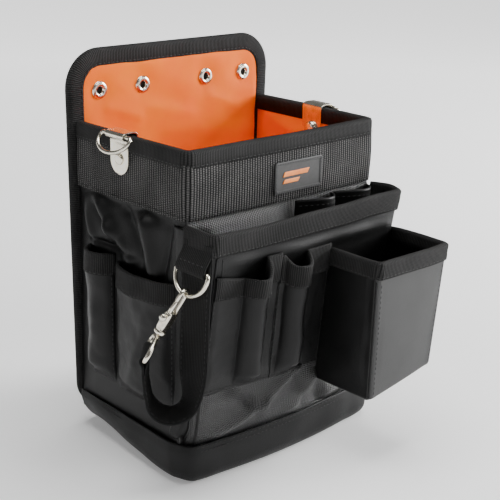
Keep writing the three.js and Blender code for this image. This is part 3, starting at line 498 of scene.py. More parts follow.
def nickel_finish():
    """Nickel plate: bright and slightly warm, with fine scratches and dulled patches."""
    finish = Finish("nickel", "nickel", Metallic=1.0, Roughness=0.2)
    brushed = finish.add("Mapping", {"Vector": finish.place, "Scale": (900.0, 900.0, 60.0)}).outputs[0]
    scratches = finish.noise(1.0, 3.0, brushed)
    patches = finish.noise(190.0, 4.0)
    tone = finish.math("MULTIPLY_ADD", scratches, 0.4, patches)
    finish.colour(tone, (0.60, 0.56, 0.46), (0.90, 0.86, 0.74), 0.35, 0.9)
    finish.rough(patches, 0.16, 0.30)
    finish.bump(finish.math("MULTIPLY_ADD", scratches, 0.6, patches), 0.012)
    return finish


def plain_finish(name, slot, dark, light, low_rough, high_rough, scale=220.0, depth=0.06, **shader):
    """Moulded or spun piece with a fine grain."""
    finish = Finish(name, slot, **shader)
    grain = finish.noise(scale, 5.0, roughness=0.65)
    speck = finish.cells(scale * 6)
    finish.colour(grain, dark, light, 0.35, 0.75)
    finish.rough(grain, low_rough, high_rough)
    finish.bump(finish.math("MULTIPLY_ADD", speck, 0.5, grain), depth)
    return finish


# Webbing colours: each dark value is painted shade in the grooves, each light value painted highlight on the ribs.
WEBBING = webbing_finish("rim_webbing", RIB, 1.7, 0.0003, 0.13, 1.3)
TAPE = webbing_finish("binding_tape", 1.5, 1.1, 0.0006, 0.034, 0.5)
STRAP_WEB = webbing_finish("strap_webbing", 1.7, 1.1, 0.001, 0.018, 0.4)
COATED = coated_finish("coated_fabric", "coated_fabric", 0.002, 0.0055, 0.32, 0.5)
# The box front's cloth is a much lighter grey than the other coated cloth: painted light for the light its front
# catches.
SATIN_PAINTED_LIGHT = coated_finish("satin_fabric", "satin_fabric", 0.044, 0.062, 0.42, 0.58, 0.06)
BOARD = coated_finish("board_cloth", "stiff_board", 0.004, 0.01, 0.5, 0.7)
WEAVE = coarse_weave_finish()
LINING = lining_finish()
NICKEL = nickel_finish()
PATCH = plain_finish("patch", "plain_patch", grey(0.03), grey(0.045), 0.42, 0.6)
MARK = plain_finish("mark", "plain_patch", (0.85, 0.22, 0.03), (1.0, 0.34, 0.07), 0.4, 0.55)
THREAD = plain_finish("thread", "ribbed_tape", grey(0.006), grey(0.025), 0.45, 0.7, 1500.0, 0.05)
BOOT = coated_finish("boot_cloth", "coated_fabric", 0.002, 0.004, 0.4, 0.6)


# ---------------------------------------------------------------- back panel

def panel_half(z, inset):
    """Half width of the panel's outline at height z, drawn in by inset."""
    half = mix(PANEL_HALF_LOW, PANEL_HALF, (z - PANEL_BOTTOM) / (PANEL_TOP - PANEL_BOTTOM)) - inset
    top, bottom = PANEL_TOP - inset, PANEL_BOTTOM + inset
    for edge, corner, sign in ((top, 31 - inset, 1), (bottom, 22 - inset, -1)):
        half -= rounded((edge - z) * sign, corner)
    return half


def panel_height(v, inset):
    """Height along the panel with more rows near its rounded ends."""
    return mix(PANEL_BOTTOM + inset, PANEL_TOP - inset, 0.5 - 0.5 * math.cos(math.pi * v))


SNAPS = [tuple(sum(c) / 2 for c in zip(*span(f"snap_stud_{k + 1}"))) for k in range(4)]


def lining_hollow(x, z):
    """Padded lining: dimples at the snaps, slack creases between them and a soft swell below."""
    depth = sum(2.0 * math.exp(-(((x - sx) / 13) ** 2 + ((z - sz) / 13) ** 2)) for sx, _, sz in SNAPS)
    crease = folds((x, z), ((-70, 262), (-34, 250), 5, 0.9), ((-32, 258), (20, 246), 6, 0.8),
                   ((34, 262), (70, 246), 5, 0.8), ((-88, 236), (-20, 222), 8, 1.0), ((-10, 236), (86, 226), 9, 1.0))
    return 1.6 - depth + crease + crinkle(x, 0, z, 30, 0.9, 2) + crinkle(x, 0, z, 11, 0.25, 3)


def lining_surface(u, v):
    z = panel_height(v, 4)
    reach = panel_half(z, 4)
    x = mix(-reach, reach, u)
    edge = ease((reach - abs(x)) / 14) * ease((PANEL_TOP - 4 - z) / 14)
    return (x, PANEL_FACE + 0.5 - max(lining_hollow(x, z), -0.6) * edge, z)


def board_surface(depth):
    def surface(u, v):
        z = panel_height(v, 4)
        reach = panel_half(z, 4)
        x = mix(-reach, reach, u)
        return (x, depth + crinkle(x, 1, z, 40, 0.7, 5) + crinkle(x, 1, z, 15, 0.2, 6), z)
    return surface


OUTLINE = 480                             # points round the panel's outline


def panel_outline():
    """Points round the panel's outer edge with inward normals, from the middle of its bottom edge."""
    side = [panel_height(k / 120, 0) for k in range(121)]
    side = [Vector((panel_half(z, 0), 0, z)) for z in side]
    low = [Vector((side[0].x * k / 16, 0, side[0].z)) for k in range(16)]
    high = [Vector((side[-1].x * (1 - k / 16), 0, side[-1].z)) for k in range(1, 17)]
    right = low + side + high
    left = [Vector((-p.x, 0, p.z)) for p in reversed(right[1:-1])]
    line = smooth_path(right + left, OUTLINE, closed=True)
    turned = []
    for k, point in enumerate(line):
        tangent = (line[(k + 2) % OUTLINE] - line[k - 2]).normalized()
        turned.append((point, Vector((-tangent.z, 0, tangent.x))))
    return turned


def add_panel_binding():
    """Ribbed tape folded round the whole edge of the panel, rounded over its rim."""
    front, back = panel_low[1], panel_high[1]
    middle, half = (front + back) / 2, (back - front) / 2
    section = [(14, front + 0.9), (13.4, front + 0.15), (9, front), (4.5, front - 0.1)]
    arc = [k * math.pi / 10 for k in range(11)]
    section += [(4.2 * (1 - math.sin(a)), middle - half * math.cos(a)) for a in arc]
    section += [(9, back), (13.4, back - 0.15), (14, back - 0.9)]
    outline = panel_outline()
    rings = []
    for point, inward in outline:
        sway = crinkle(point.x, 0, point.z, 26, 0.7, 9)
        rings.append([point + inward * (inset + sway * inset / 14) + Vector((0, y, 0)) for inset, y in section])
    sheet_of("back_binding_tape", rings, TAPE, 1.1, ("back_binding",), offset=-1, along=True)
    for side, y, sign in (("front", front, -1), ("rear", back, 1)):
        row = [(p + n * 12 + Vector((0, y + 0.25 * sign, 0)), Vector((0, sign, 0))) for p, n in outline]
        stitches(f"back_binding_{side}_stitches", [row])


def punch(piece, spots, radius):
    """Opens a round hole in a panel at each (x, z)."""
    shell = bmesh.new()
    shell.from_mesh(piece.data)
    centres = [(face, face.calc_center_median() * 1000) for face in shell.faces]
    gone = [face for face, c in centres if any(math.dist((c.x, c.z), spot) < radius for spot in spots)]
    bmesh.ops.delete(shell, geom=gone, context="FACES")
    shell.to_mesh(piece.data)
    shell.free()


def add_back_panel():
    lining = cloth("back_lining_cloth", lining_surface, 150, 150, LINING, 1.0, ("back_lining",), uv_turn=True)
    punch(lining, [(x, z) for x, _, z in SNAPS], 5.0)
    cloth("back_board_cloth", board_surface(BOARD_BACK - 0.4), 60, 90, BOARD, 0.9, ("back_board",))
    add_panel_binding()


def add_snap_studs():
    """Ring-head studs: a rolled ring on the lining with a deep well, a socket and stud behind."""
    back = BOARD_BACK + 0.3
    for k, (x, _, z) in enumerate(SNAPS):
        front = PANEL_FACE - 0.6
        profile = [(0, 4.6), (2.3, 4.6), (2.5, 4.2), (2.5, 0.6), (2.9, -0.5), (3.6, -1.2), (4.6, -1.4), (5.9, -1.15),
                   (6.8, -0.55), (7.2, 0.1), (7.1, 0.5), (6.4, 0.6), (2.9, 0.7), (2.9, back - front),
                   (5.4, back - front), (5.4, back - front + 0.9), (2.8, back - front + 1),
                   (2.9, back - front + 3.0), (2.4, back - front + 3.5), (0, back - front + 3.6)]
        lathe(f"snap_ring_{k + 1}", profile, (x, front, z), (0, 1, 0), NICKEL, "pouch", (f"snap_stud_{k + 1}",), 48)
        well = [(0, 1.0), (0.9, 1.0), (1.1, 1.3), (2.2, 1.5), (2.56, 1.2), (2.56, 2.2), (0, 2.3)]
        lathe(f"snap_well_{k + 1}", well, (x, front, z), (0, 1, 0), BOARD, "pouch", (), 32)


def add_belt_strap(name, first_cap):
    """Webbing strap for a belt: boxed stitching on its foot, a free flap and two domed caps."""
    foot_low, foot_high = span(f"{name}_foot")
    flap_low, flap_high = span(f"{name}_flap")
    x0, x1 = foot_low[0], foot_high[0]
    middle = (foot_low[1] + foot_high[1]) / 2

    def foot(u, v):
        z = mix(foot_low[2], foot_high[2], v)
        return (mix(x0, x1, u), middle + 0.1 * math.sin(7 * u) * (1 - v), z)

    cloth(f"{name}_foot_web", foot, 64, 24, STRAP_WEB, 1.5, (f"{name}_foot",))
    rear = Vector((0, 1, 0))
    corners = [(0.06, 0.12), (0.94, 0.12), (0.94, 0.86), (0.06, 0.86), (0.06, 0.12), (0.94, 0.86)]
    seams = [*zip(corners, corners[1:]), (corners[1], corners[3])]
    rows = [[(Vector((p.x, foot_high[1] + 0.1, p.z)), rear) for p, _ in line_on(foot, a, b, -0.8, 30)]
            for a, b in seams]
    stitches(f"{name}_foot_stitches", rows)

    snap_y = flap_low[1] + 4.3
    run = smooth_path([(0, flap_low[1] + 0.6, flap_low[2] + 0.3), (0, flap_low[1] + 5.2, 210.5),
                       (0, flap_low[1] + 6.7, 222), (0, flap_high[1] - 0.9, 238), (0, flap_low[1] + 6.3, 254),
                       (0, flap_low[1] + 5.6, 262), (0, snap_y, 268.5), (0, snap_y, 280),
                       (0, snap_y, flap_high[2] - 0.4)], 90)

    def flap(u, v):
        point = run[min(int(v * 89.999), 89)]
        corner = 6 * max(0, (v - 0.94) / 0.06) ** 2
        side = mix(x0 + corner, x1 - corner, u)
        return (side, point.y + crinkle(side, 0, point.z, 30, 0.25, 4), point.z)

    web = cloth(f"{name}_web", flap, 60, 89, STRAP_WEB, 1.5, (f"{name}_flap",), None)
    rows = [[(Vector((p.x, p.y - n.y + 1, p.z)), rear) for p, n in line_on(flap, (u, 0.02), (u, 0.93), 1.0)]
            for u in (0.05, 0.95)]
    for piece in (web, stitches(f"{name}_stitches", rows, None)):
        bend(piece)
    for k in (first_cap, first_cap + 1):
        low, high = span(f"snap_cap_{k}")
        depth = high[1] - low[1]
        profile = [(0, 3.0), (3.3, 3.0), (3.5, 0.3), (4.0, 0), (5.8, 0), (6.2, 0.5), (6.2, 3.2), (2.2, 3.4),
                   (2.2, depth - 1.7), (7.3, depth - 1.7), (7.6, depth - 1.4), (7.3, depth - 1.0),
                   (6.2, depth - 0.5), (4.2, depth - 0.15), (2.0, depth), (0, depth)]
        centre = ((low[0] + high[0]) / 2, low[1], (low[2] + high[2]) / 2)
        lathe(f"snap_dome_{k}", profile, centre, (0, 1, 0), NICKEL, name, (f"snap_cap_{k}",), 48)


# ---------------------------------------------------------------- main compartment

def wrap_plan(half, front, corner):
    """Plan points and outward normals round the left side, the front and the right side, bowed a little."""
    step = 1.6
    depth = WALL_BACK - front
    plan = []
    for k in range(int(depth / step) + 1):
        plan.append((-half, WALL_BACK - k * (depth - corner) / int(depth / step)))
    for k in range(1, 9):
        angle = math.pi + k * math.pi / 16
        plan.append((-half + corner + corner * math.cos(angle), front + corner + corner * math.sin(angle)))
    width = 2 * (half - corner)
    for k in range(1, int(width / step)):
        plan.append((-half + corner + k * width / int(width / step), front))
    mirrored = [(-x, y) for x, y in reversed(plan) if x <= -half + corner + 1e-6]
    plan += mirrored
    out = []
    for x, y in plan:
        side = 0.4 * math.sin(math.pi * clamp((y - front) / depth)) * math.copysign(1, x)
        if abs(x) < half - corner - 1e-6:
            side = 0
        face = math.cos(math.pi / 2 * clamp(abs(x) / (half - corner))) if y < front + corner else 0
        out.append(Vector((x + side, y - face, 0)))
    return outward(out)


def rim_lift(point):
    """The rim's top edge sways a little as it runs round."""
    return crinkle(point.x, point.y, 0, 70, 0.8, 1)


def add_rim():
    """50 mm webbing round the outside of the mouth, under a tape folded over the edge."""
    outer = wrap_plan(HALF - 1.1, FRONT + 1.1, 5)
    heights = [mix(BAND_LOW, RIM_TOP - 9.5, k / 20) for k in range(21)]
    rows = []
    for point, out in outer:
        held = 1 - bump_at(point.y, HANGERS[math.copysign(1, point.x)], 15)
        swell = [(0.7 * math.sin(math.pi * k / 20) + crinkle(point.x, point.y, z, 45, 0.7, 6)) * held - 0.2
                 for k, z in enumerate(heights)]
        rows.append([point + out * s + Vector((0, 0, z)) for s, z in zip(swell, heights)])
    sheet_of("rim_webbing", rows, WEBBING, 2.1, ("rim_band",))
    edge_out, edge_in = HALF - 1.1, LINING_HALF - 0.6
    middle, reach = (edge_out + edge_in) / 2, (edge_out - edge_in) / 2 + 1.0
    plan = wrap_plan(middle, FRONT + HALF - middle, 4.6)
    low = RIM_TOP - 12
    section = [(reach, low), (reach + 0.25, mix(low, RIM_TOP, 0.35)), (reach + 0.1, RIM_TOP - 2.4)]
    section += [(reach * math.cos(a), RIM_TOP - 1.5 + 1.4 * math.sin(a)) for a in (0.5, 1.0, 1.57, 2.1, 2.6)]
    section += [(-reach, RIM_TOP - 2.4), (-reach, low)]
    rows = []
    for point, out in plan:
        lift = rim_lift(point)
        rows.append([point + out * side + Vector((0, 0, z + (lift if z > low + 1 else 0))) for side, z in section])
    sheet_of("rim_tape", rows, TAPE, 1.0, ("rim_binding",))
    lines = []
    for height, stand in ((low + 1.6, 1.75), (BAND_LOW + 2.2, 1.3)):
        lines.append([(point + out * stand + Vector((0, 0, height)), out) for point, out in outer])
    stitches("rim_stitches", lines)


def boot_flare(y, z):
    """The walls lean out at the bottom to meet the inside of the boot."""
    return (mix(0.6, 5.2, (WALL_BACK - y) / 124)) * ease((66 - z) / 32)


def wall_out(y, z):
    """How far a side wall's cloth stands out for its swell and the boot, and how loose it hangs there."""
    swell = 2.6 * ease((BAND_LOW - z) / 14) * ease((z - 20) / 60) * ease((WALL_BACK - y) / 20)
    return boot_flare(y, z) + swell, ease((BAND_LOW - z) / 9) * ease((z - 147) / 12) * ease((WALL_BACK - 3 - y) / 14)


def left_wall_out(y, z):
    """The left wall's cloth stands out from its flat place, with its drape folds."""
    out, loose = wall_out(y, z)
    drape = folds((y, z), ((64, 203), (40, 160), 5.5, 3.4), ((46, 206), (16, 176), 6.5, 4.4),
                  ((24, 186), (-4, 158), 7, 3.6), ((-16, 207), (-32, 154), 9, 5.4),
                  ((48, 196), (12, 160), 4, -2.4), ((8, 200), (-18, 166), 5.5, -3.2),
                  ((30, 203), (-30, 201), 3.2, -1.8), ((58, 167), (-4, 165), 2.6, -2.2),
                  ((-47, 203), (-37, 150), 4, -3.2))
    return out + loose * (1.3 * drape + crinkle(0, y, z, 16, 0.8, 11)) + crinkle(0, y, z, 34, 0.5, 12)


def right_wall_out(y, z):
    out, loose = wall_out(y, z)
    drape = folds((y, z), ((60, 205), (22, 150), 9, 2.4, 0.9), ((14, 208), (-30, 152), 11, 2.6, 0.9),
                  ((44, 202), (-2, 160), 7, -1.6, 0.8), ((-10, 206), (-46, 170), 6, -1.4, 0.8))
    return out + loose * (drape + crinkle(9, y, z, 19, 1.7, 13)) + crinkle(9, y, z, 34, 0.7, 14)


def side_wall(side):
    out = left_wall_out if side < 0 else right_wall_out

    def surface(u, v):
        y = mix(WALL_BACK + 0.3, FRONT + 3.2, u)
        z = mix(18, BAND_LOW + 12, v)
        return (side * (WALL_HALF - 0.8 + out(y, z)), y, z)
    return surface


def inner_lining(side):
    """Lining of a side wall: it hangs a little slack, creased near its top edge."""
    def surface(u, v):
        y = mix(WALL_BACK + 1.6, FRONT + 5, u)
        z = mix(boot_round(y) - 1, RIM_TOP - 3, v)
        slack = ease((RIM_TOP - z) / 25) * ease((y - FRONT - 5) / 12) * ease((WALL_BACK - y) / 12)
        crease = folds((y, z), ((60, 244), (10, 226), 7, 1.5), ((30, 236), (-50, 214), 9, 1.6))
        belly = (2.2 + crease + crinkle(side, y, z, 22, 1.0, 21)) * slack
        return (side * (LINING_HALF + 0.4 - belly), y, z)
    return surface


def front_lining(u, v):
    x = mix(-LINING_HALF, LINING_HALF, u)
    z = mix(4, RIM_TOP - 3, v)
    slack = ease((RIM_TOP - z) / 25) * ease((LINING_HALF - abs(x)) / 12)
    belly = (1.8 + crinkle(x, 3, z, 24, 1.1, 22) + fold((x, z), (-60, 236), (50, 216), 9, 1.4)) * slack
    return (x, FRONT + 5.2 + belly, z)


def floor_lining(u, v):
    """Lining over the base, turned up at its edges as the boot turns under."""
    x = mix(-LINING_HALF, LINING_HALF, u)
    y = mix(FRONT + 4.5, PANEL_FACE + 0.8, v)
    side, rear = boot_round(y) - 3, 30
    near = min(LINING_HALF + 0.2 - abs(x), y - FRONT - 2)
    a, b = max(1 - near / side, 0), max(1 - (PANEL_FACE + 1 - y) / rear, 0)
    past = math.hypot(a, b)
    radius = (side * a * a + rear * b * b) / (past * past) if past else 0
    rise = radius * (1 - math.sqrt(max(1 - past ** 2, 0)) + 0.6 * max(past - 1, 0))
    edge = ease(near / 24) * ease((PANEL_FACE - y) / 10)
    return (x, y, 4.2 + rise + crinkle(x, y, 2, 30, 1.4, 23) * edge)


def front_wall(u, v):
    """Front wall under the band: its cloth rolls out just below the webbing and catches the light."""
    z = mix(8, BAND_LOW + 12, v)
    corner = FRONT + 3.2
    x = mix(-WALL_HALF + 0.8 - left_wall_out(corner, z), WALL_HALF - 0.8 + right_wall_out(corner, z), u)
    out = ease((BAND_LOW - 0.3 - z) / 7.5) * ease((z - 150) / 30)
    roll = 4.6 * out * ease((8 - x) / 30) * ease((x + 88) / 14)
    return (x, FRONT + 3.2 - roll + crinkle(x, 0, z, 20, 0.5, 24), z)


def add_main_compartment():
    for name, side in (("left", -1), ("right", 1)):
        wall = side_wall(side)
        cloth(f"{name}_wall_cloth", wall, 110, 150, COATED, 1.5, (f"{name}_wall",))
        cloth(f"{name}_lining_cloth", inner_lining(side), 70, 80, LINING, 0.9, (f"{name}_lining",))
    cloth("front_wall_cloth", front_wall, 120, 110, WEAVE, 1.5, ("front_wall",))
    cloth("front_lining_cloth", front_lining, 90, 80, LINING, 0.9, ("front_lining",))
    cloth("floor_lining_cloth", floor_lining, 70, 50, LINING, 0.9)


def add_label_patch():
    """Moulded grey patch, sewn on: a raised border and two plain bars, with no lettering."""
    low, high = span("label_patch")
    x0, x1, z0, z1 = low[0], high[0], low[2], high[2]
    face = low[1] - 1.5
    layers = [(0.0, 1.3), (0.0, 0.3), (0.5, 0.0), (2.2, 0.0), (2.6, 0.5), (3.0, 0.5)]

    def ring(inset, depth):
        corner = max(2.2 - inset, 0.4)
        points = []
        for cx, cz, start in ((x1, z0, -90), (x1, z1, 0), (x0, z1, 90), (x0, z0, 180)):
            px = cx - math.copysign(inset + corner, cx - (x0 + x1) / 2)
            pz = cz - math.copysign(inset + corner, cz - (z0 + z1) / 2)
            for k in range(6):
                angle = math.radians(start + 18 * k)
                points.append(Vector((px + corner * math.cos(angle), face + depth, pz + corner * math.sin(angle))))
        return points

    section_loft("label_plate", [ring(*layer) for layer in layers], PATCH, nodes=("label_patch",), smooth=False)
    for k, (left, right, bottom, top) in enumerate(((8, 34, 12.6, 16.2), (8, 24, 7.4, 10.4))):
        bar = []
        for inset, depth in ((0, 0.55), (0, 0.1), (0.4, -0.1)):
            bar.append([Vector((x0 + left + inset, face + depth, z0 + bottom + inset)),
                        Vector((x0 + right - inset, face + depth, z0 + bottom + inset)),
                        Vector((x0 + right - inset + 2, face + depth, z0 + top - inset)),
                        Vector((x0 + left + inset + 2, face + depth, z0 + top - inset))])
        section_loft(f"label_bar_{k + 1}", bar, MARK, smooth=False)
    normal = Vector((0, -1, 0))
    edge = [(x0 + 1.3, z0 + 1.3), (x1 - 1.3, z0 + 1.3), (x1 - 1.3, z1 - 1.3), (x0 + 1.3, z1 - 1.3)]
    edge.append(edge[0])
    rows = [[(Vector((mix(a[0], b[0], t / 20), face - 0.15, mix(a[1], b[1], t / 20))), normal) for t in range(21)]
            for a, b in zip(edge, edge[1:])]
    stitches("label_stitches", rows, length=1.8, gap=0.7, radius=0.24)


# ---------------------------------------------------------------- tape over an edge

def fold_profile(half, low, top):
    """Section of a tape folded over an edge: (side, height) from the outside, over and down inside."""
    outside = [(half + 0.15 * math.sin(math.pi * t), mix(low, top - half, t)) for t in (0, 0.2, 0.4, 0.6, 0.8, 1)]
    turns = (0.4, 0.8, 1.2, 1.57, 1.94, 2.34, 2.74)
    arc = [(half * math.cos(a), top - half + half * math.sin(a)) for a in turns]
    return outside + arc + [(-half, mix(top - half, low, t)) for t in (0, 0.5, 1)]


def folded_tape(name, plan, half, low, top, nodes, sway):
    """Ribbed tape folded over an edge. plan(z) gives points and outward normals at height z."""
    section = fold_profile(half, low, top)
    levels = [plan(z) for _, z in section]
    rows = []
    for across in zip(*levels):
        rows.append([Vector((point.x, point.y, z)) + out * side + sway(point, z)
                     for (side, z), (point, out) in zip(section, across)])
    sheet_of(name, rows, TAPE, 0.9, nodes)


def edge_tape(name, surface, start, nodes, out):
    """Tape folded over the top edge of surface(u, v), on the side that out's sign points to."""
    columns, rise = 70, 0.012
    bow = math.copysign(0.12, out)
    places = [(mix(start, 1, t), out + bow * math.sin(math.pi * t)) for t in (0, 0.25, 0.5, 0.75, 1)]
    places += [(1 + rise * math.sin(a), out * math.cos(a)) for a in (0.5, 1.0, 1.57, 2.14, 2.64)]
    places += [(1, -out), (mix(1, start, 0.5), -out), (start, -out)]
    rows = []
    for i in range(columns + 1):
        u = i / columns
        row = []
        for v, stand in places:
            point, normal = frame_on(surface, u, min(v, 1))
            lift = max(v - 1, 0) / rise * abs(out)
            row.append(point + normal * stand + Vector((0, 0, lift)))
        rows.append(row)
    sheet_of(name, rows, TAPE, 0.9, nodes)
    stand = out + math.copysign(0.65, out)
    stitches(f"{name}_stitches", [line_on(surface, (0.01, start + 0.012), (0.99, start + 0.012), stand, 90)])


# ---------------------------------------------------------------- front compartment

def pouch_y(x, z):
    bottom = min(-66 - 9 * (1 - (x / POUCH_RIGHT_LOW) ** 2), -66)
    return mix(bottom, MOUTH_FRONT, clamp(z / MOUTH_TOP) ** 1.2)


def pouch_right(z):
    return mix(POUCH_RIGHT_LOW, POUCH_RIGHT_TOP, clamp(z / MOUTH_TOP))


POCKET_LINE = 74                          # the pockets' bottom seam on the front
TAPE_DEPTH = 16                           # how far the tape comes down a pocket


def front_slack(x, z):
    """How far the front cloth stands out from its flat place."""
    low = ease((POCKET_LINE + 12 - z) / 14) * ease((x + 95) / 8) * ease((z - 30) / 12)
    slack = folds((x, z), ((-80, 36), (-30, 52), 6.5, 5.4), ((-38, 49), (2, 76), 6, 5.0),
                  ((-8, 34), (24, 62), 6, 5.4), ((36, 38), (76, 46), 8, 5.0), ((-90, 66), (-50, 64), 8, 2.4),
                  ((-84, 92), (-34, 46), 6, -3.6), ((0, 70), (14, 30), 6, -2.6), ((26, 60), (34, 24), 7, -2.4))
    under_tape = 1 - ease((z - MOUTH_TOP + 26) / 10)
    swell = 1.6 * math.sin(math.pi * clamp((x + 97) / 190)) * ease((z - 168) / 10) * under_tape
    fine = crinkle(x, 0, z, 26, 0.9, 31) * under_tape + crinkle(x, 0, z, 10, 0.3, 32) * low
    return low * slack + swell - 0.9 * ease((38 - z) / 6) + fine


def corner_radius(z):
    """Roundness of the front's vertical corners: larger where the boot takes them in."""
    return 4.0 + 10.0 * ease((50 - z) / 28)


def pouch_skin(u, z, lift=0.0):
    """Front cloth at height z, its side edges rolled back into the gussets."""
    left, right = POUCH_LEFT, pouch_right(z)
    x = mix(left, right, u)
    near = min(x - left, right - x)
    roll = rounded(near, corner_radius(z))
    edge = ease(near / 12)
    press = mouth_sag(x) * ease((z - MOUTH_TOP + 60) / 50)
    return (x, pouch_y(x, z) + press + roll - (front_slack(x, z) + lift) * edge, z)


def pouch_low(u, v):
    return pouch_skin(u, mix(20, POCKET_LINE + 6, v))


def pouch_high(u, v):
    z = mix(POCKET_LINE, MOUTH_TOP - 1, v)
    return pouch_skin(u, z, 1.0 - ease((z - MOUTH_TOP + 26) / 10))


def left_gusset(u, v):
    z = mix(16, MOUTH_TOP - 1, v)
    front = pouch_y(POUCH_LEFT, z) + corner_radius(z) + 0.2
    y = mix(-50, front, u)
    swell = (1.2 + 2.0 * ease((60 - z) / 40) + crinkle(2, y, z, 22, 1.2, 33)) * inside(u, 6)
    swell += 1.2 * fold((y, z), (-80, 100), (-62, 60), 5, 1.6) * ease((1 - u) * 5)
    flare = 3.4 * ease((62 - z) / 30) * ease((1 - u) * 3 + 0.2)
    tuck = ease((z - BOOT_TOP + 4) / 12)
    return (POUCH_LEFT - 0.2 - (max(swell, -0.4) + flare) * tuck + 2 * (1 - tuck), y, z)


def right_gusset(u, v):
    z = mix(16, MOUTH_TOP - 1, v)
    edge = pouch_right(z)
    rear = FRONT + 2.4
    front = pouch_y(edge, z) + corner_radius(z) + 0.2
    belly = 4 * (z / MOUTH_TOP) ** 1.5 * math.sin(math.pi * u)
    pleat = 1.6 * math.sin(3 * math.pi * u) * ease((z - 30) / 60) + crinkle(5, 90 * u, z, 24, 1.4, 34)
    x = mix(95.4, edge, mix(0.2, 1, u)) + belly + pleat * inside(u, 5)
    return (x, mix(rear, front, u), z)


def mouth_plan(z):
    """Middle line of the mouth binding with outward normals, from the left wall to the right wall."""
    right = pouch_right(z)
    left_front = pouch_y(POUCH_LEFT + 4, z)
    right_front = pouch_y(right - 4, z)
    points = [(POUCH_LEFT, FRONT + 1.5), (POUCH_LEFT - 0.3, mix(FRONT, left_front, 0.45)),
              (POUCH_LEFT, left_front + 5), (POUCH_LEFT + 1.3, left_front + 1.4), (POUCH_LEFT + 5, left_front)]
    points += [(x, pouch_y(x, z) + mouth_sag(x)) for x in (-75, -60, -45, -30, -10, 10, 30, 50, 70)]
    points += [(right - 5, right_front), (right - 1.2, right_front + 1.4), (right + 0.6, right_front + 5),
               (right + 3.2, mix(FRONT, right_front, 0.55)), (right + 2.0, mix(FRONT, right_front, 0.25)),
               (right - 1.5, FRONT + 1.0)]
    return smooth_plan(points, 260)


def mouth_sag(x):
    """The mouth is pressed in a little over the tool pockets."""
    return 2.0 * bump_at(x, -58, 24) - 1.0 * bump_at(x, 10, 40)


def mouth_sway(point, z):
    dip = -2.4 * bump_at(point.x, -58, 26) + 0.8 * bump_at(point.x, 70, 30)
    return Vector((0, 0, dip * clamp((z - MOUTH_TOP + 22) / 10) + crinkle(point.x, point.y, 0, 40, 0.9, 35)))


def add_welt(name, surface, line, radius):
    """Piped seam: a fine cord under the cloth along a line of (u, v) on a surface."""
    points = [frame_on(surface, u, v) for u, v in line]
    path = smooth_path([p + n * radius * 0.6 for p, n in points], 120)
    wire(name, path, radius, COATED, "pouch", sides=10)


def add_front_compartment():
    cloth("pouch_front_low", pouch_low, 190, 90, WEAVE, 1.4, ("pouch_front",))
    cloth("pouch_front_high", pouch_high, 190, 90, COATED, 1.2, ("pouch_front",))
    cloth("pouch_left_gusset_cloth", left_gusset, 40, 120, COATED, 1.5, ("pouch_left_gusset",))
    cloth("pouch_right_gusset_cloth", right_gusset, 50, 110, COATED, 1.5, ("pouch_right_gusset",))
    top = span("pouch_binding")[1][2]
    tape = top - 17
    folded_tape("pouch_mouth_tape", mouth_plan, 2.2, tape, top - 0.5, ("pouch_binding",), mouth_sway)
    line = []
    for point, out in mouth_plan(tape + 1.6):
        spot = Vector((point.x, point.y, tape + 1.6)) + mouth_sway(point, tape + 1.6)
        line.append((spot + out * 2.75, out))
    stitches("pouch_mouth_stitches", [line])
    seam = line_on(pouch_high, (0.004, 0.012), (0.63, 0.012), 0.8, 120)
    stitches("pocket_line_stitches", [seam])
    add_welt("left_corner_welt", lambda u, v: pouch_skin(u, mix(26, MOUTH_TOP - 16, v), 1.2),
             [(0.022, t / 12) for t in range(13)], 0.95)
    add_welt("left_inner_welt", pouch_high, [(0.052, t / 12 * 0.86) for t in range(13)], 0.7)


# ---------------------------------------------------------------- pockets on the front

def tube(x, start, end):
    """Round sleeve profile between two places, 0 outside them."""
    place = clamp((x - start) / (end - start))
    return math.sin(math.pi * place) ** 0.62 if 0 < place < 1 else 0.0


def drawn_in(v):
    """Fullness of a pocket up its height: pinched at the bottom seam, a little slack at the top."""
    return min(1.0, 0.05 + ease(v * 7) * 0.95)


def sleeve(across, up, roll, depth, flat, seed, sags=False):
    """Tool sleeve on the front: flat cloth that rolls out into a tube. Its top edge peaks beside the tube,
    on the right only where its left part sags."""
    (x0, x1), (z0, z1), (start, end) = across, up, roll

    def surface(u, v):
        x = mix(x0, x1, u)
        shape = tube(x, start, end)
        lift = 7.5 * (1 - shape) * ease((x - mix(start, end, 0.5)) / 8)
        if sags:
            lift -= 4.5 * ease((x - x0) / 26) * ease((end - x) / 8)
        else:
            lift += 7.5 * (1 - shape) * ease((start + 4 - x) / 6)
        z = mix(z0, z1, v) + lift * ease((v - 0.7) / 0.3)
        edge = ease((x - x0) / 5) * ease((x1 - x) / 3)
        round_part = depth * shape * drawn_in(v) * (1 - 0.12 * math.sin(math.pi * v))
        slack = crinkle(x, seed, z, 18, 1.1, seed) + crinkle(x, seed, z, 7, 0.25, seed + 1)
        slack += 0.8 * math.sin(v * 9 + seed) * shape * (1 - v)
        stand = 2.4 + flat * edge * drawn_in(v) + slack * edge * ease(v * 6)
        return (x, pouch_y(x, z) - stand - round_part, z)
    return surface


def add_pocket(name, surface, height, grid, margin, foot, side=1):
    """Pocket cloth with tape over its top edge, sewn down its sides and along its foot."""
    cloth(f"{name}_cloth", surface, *grid, COATED, 1.1, (name,))
    edge_tape(f"{name}_tape", surface, 1 - TAPE_DEPTH / height, (f"{name}_binding",), side * 1.1)
    rows = [line_on(surface, (u, 0.02), (u, 0.84), side * 0.75, 60) for u in (margin, 1 - margin)]
    rows.append(line_on(surface, (foot, 0.018), (1 - foot, 0.018), side * 0.75, 80))
    stitches(f"{name}_stitches", rows)


BOX_TOP = span("box_pocket_front")[1][2]
BOX_Z = 58                                # the box pocket's lower left corner
BOX_FRONT = -141


def box_edge(low, high, z):
    """Place of a box edge at height z, between its ends at the box's foot and top."""
    return mix(low, high, (z - BOX_Z) / (BOX_TOP - BOX_Z))


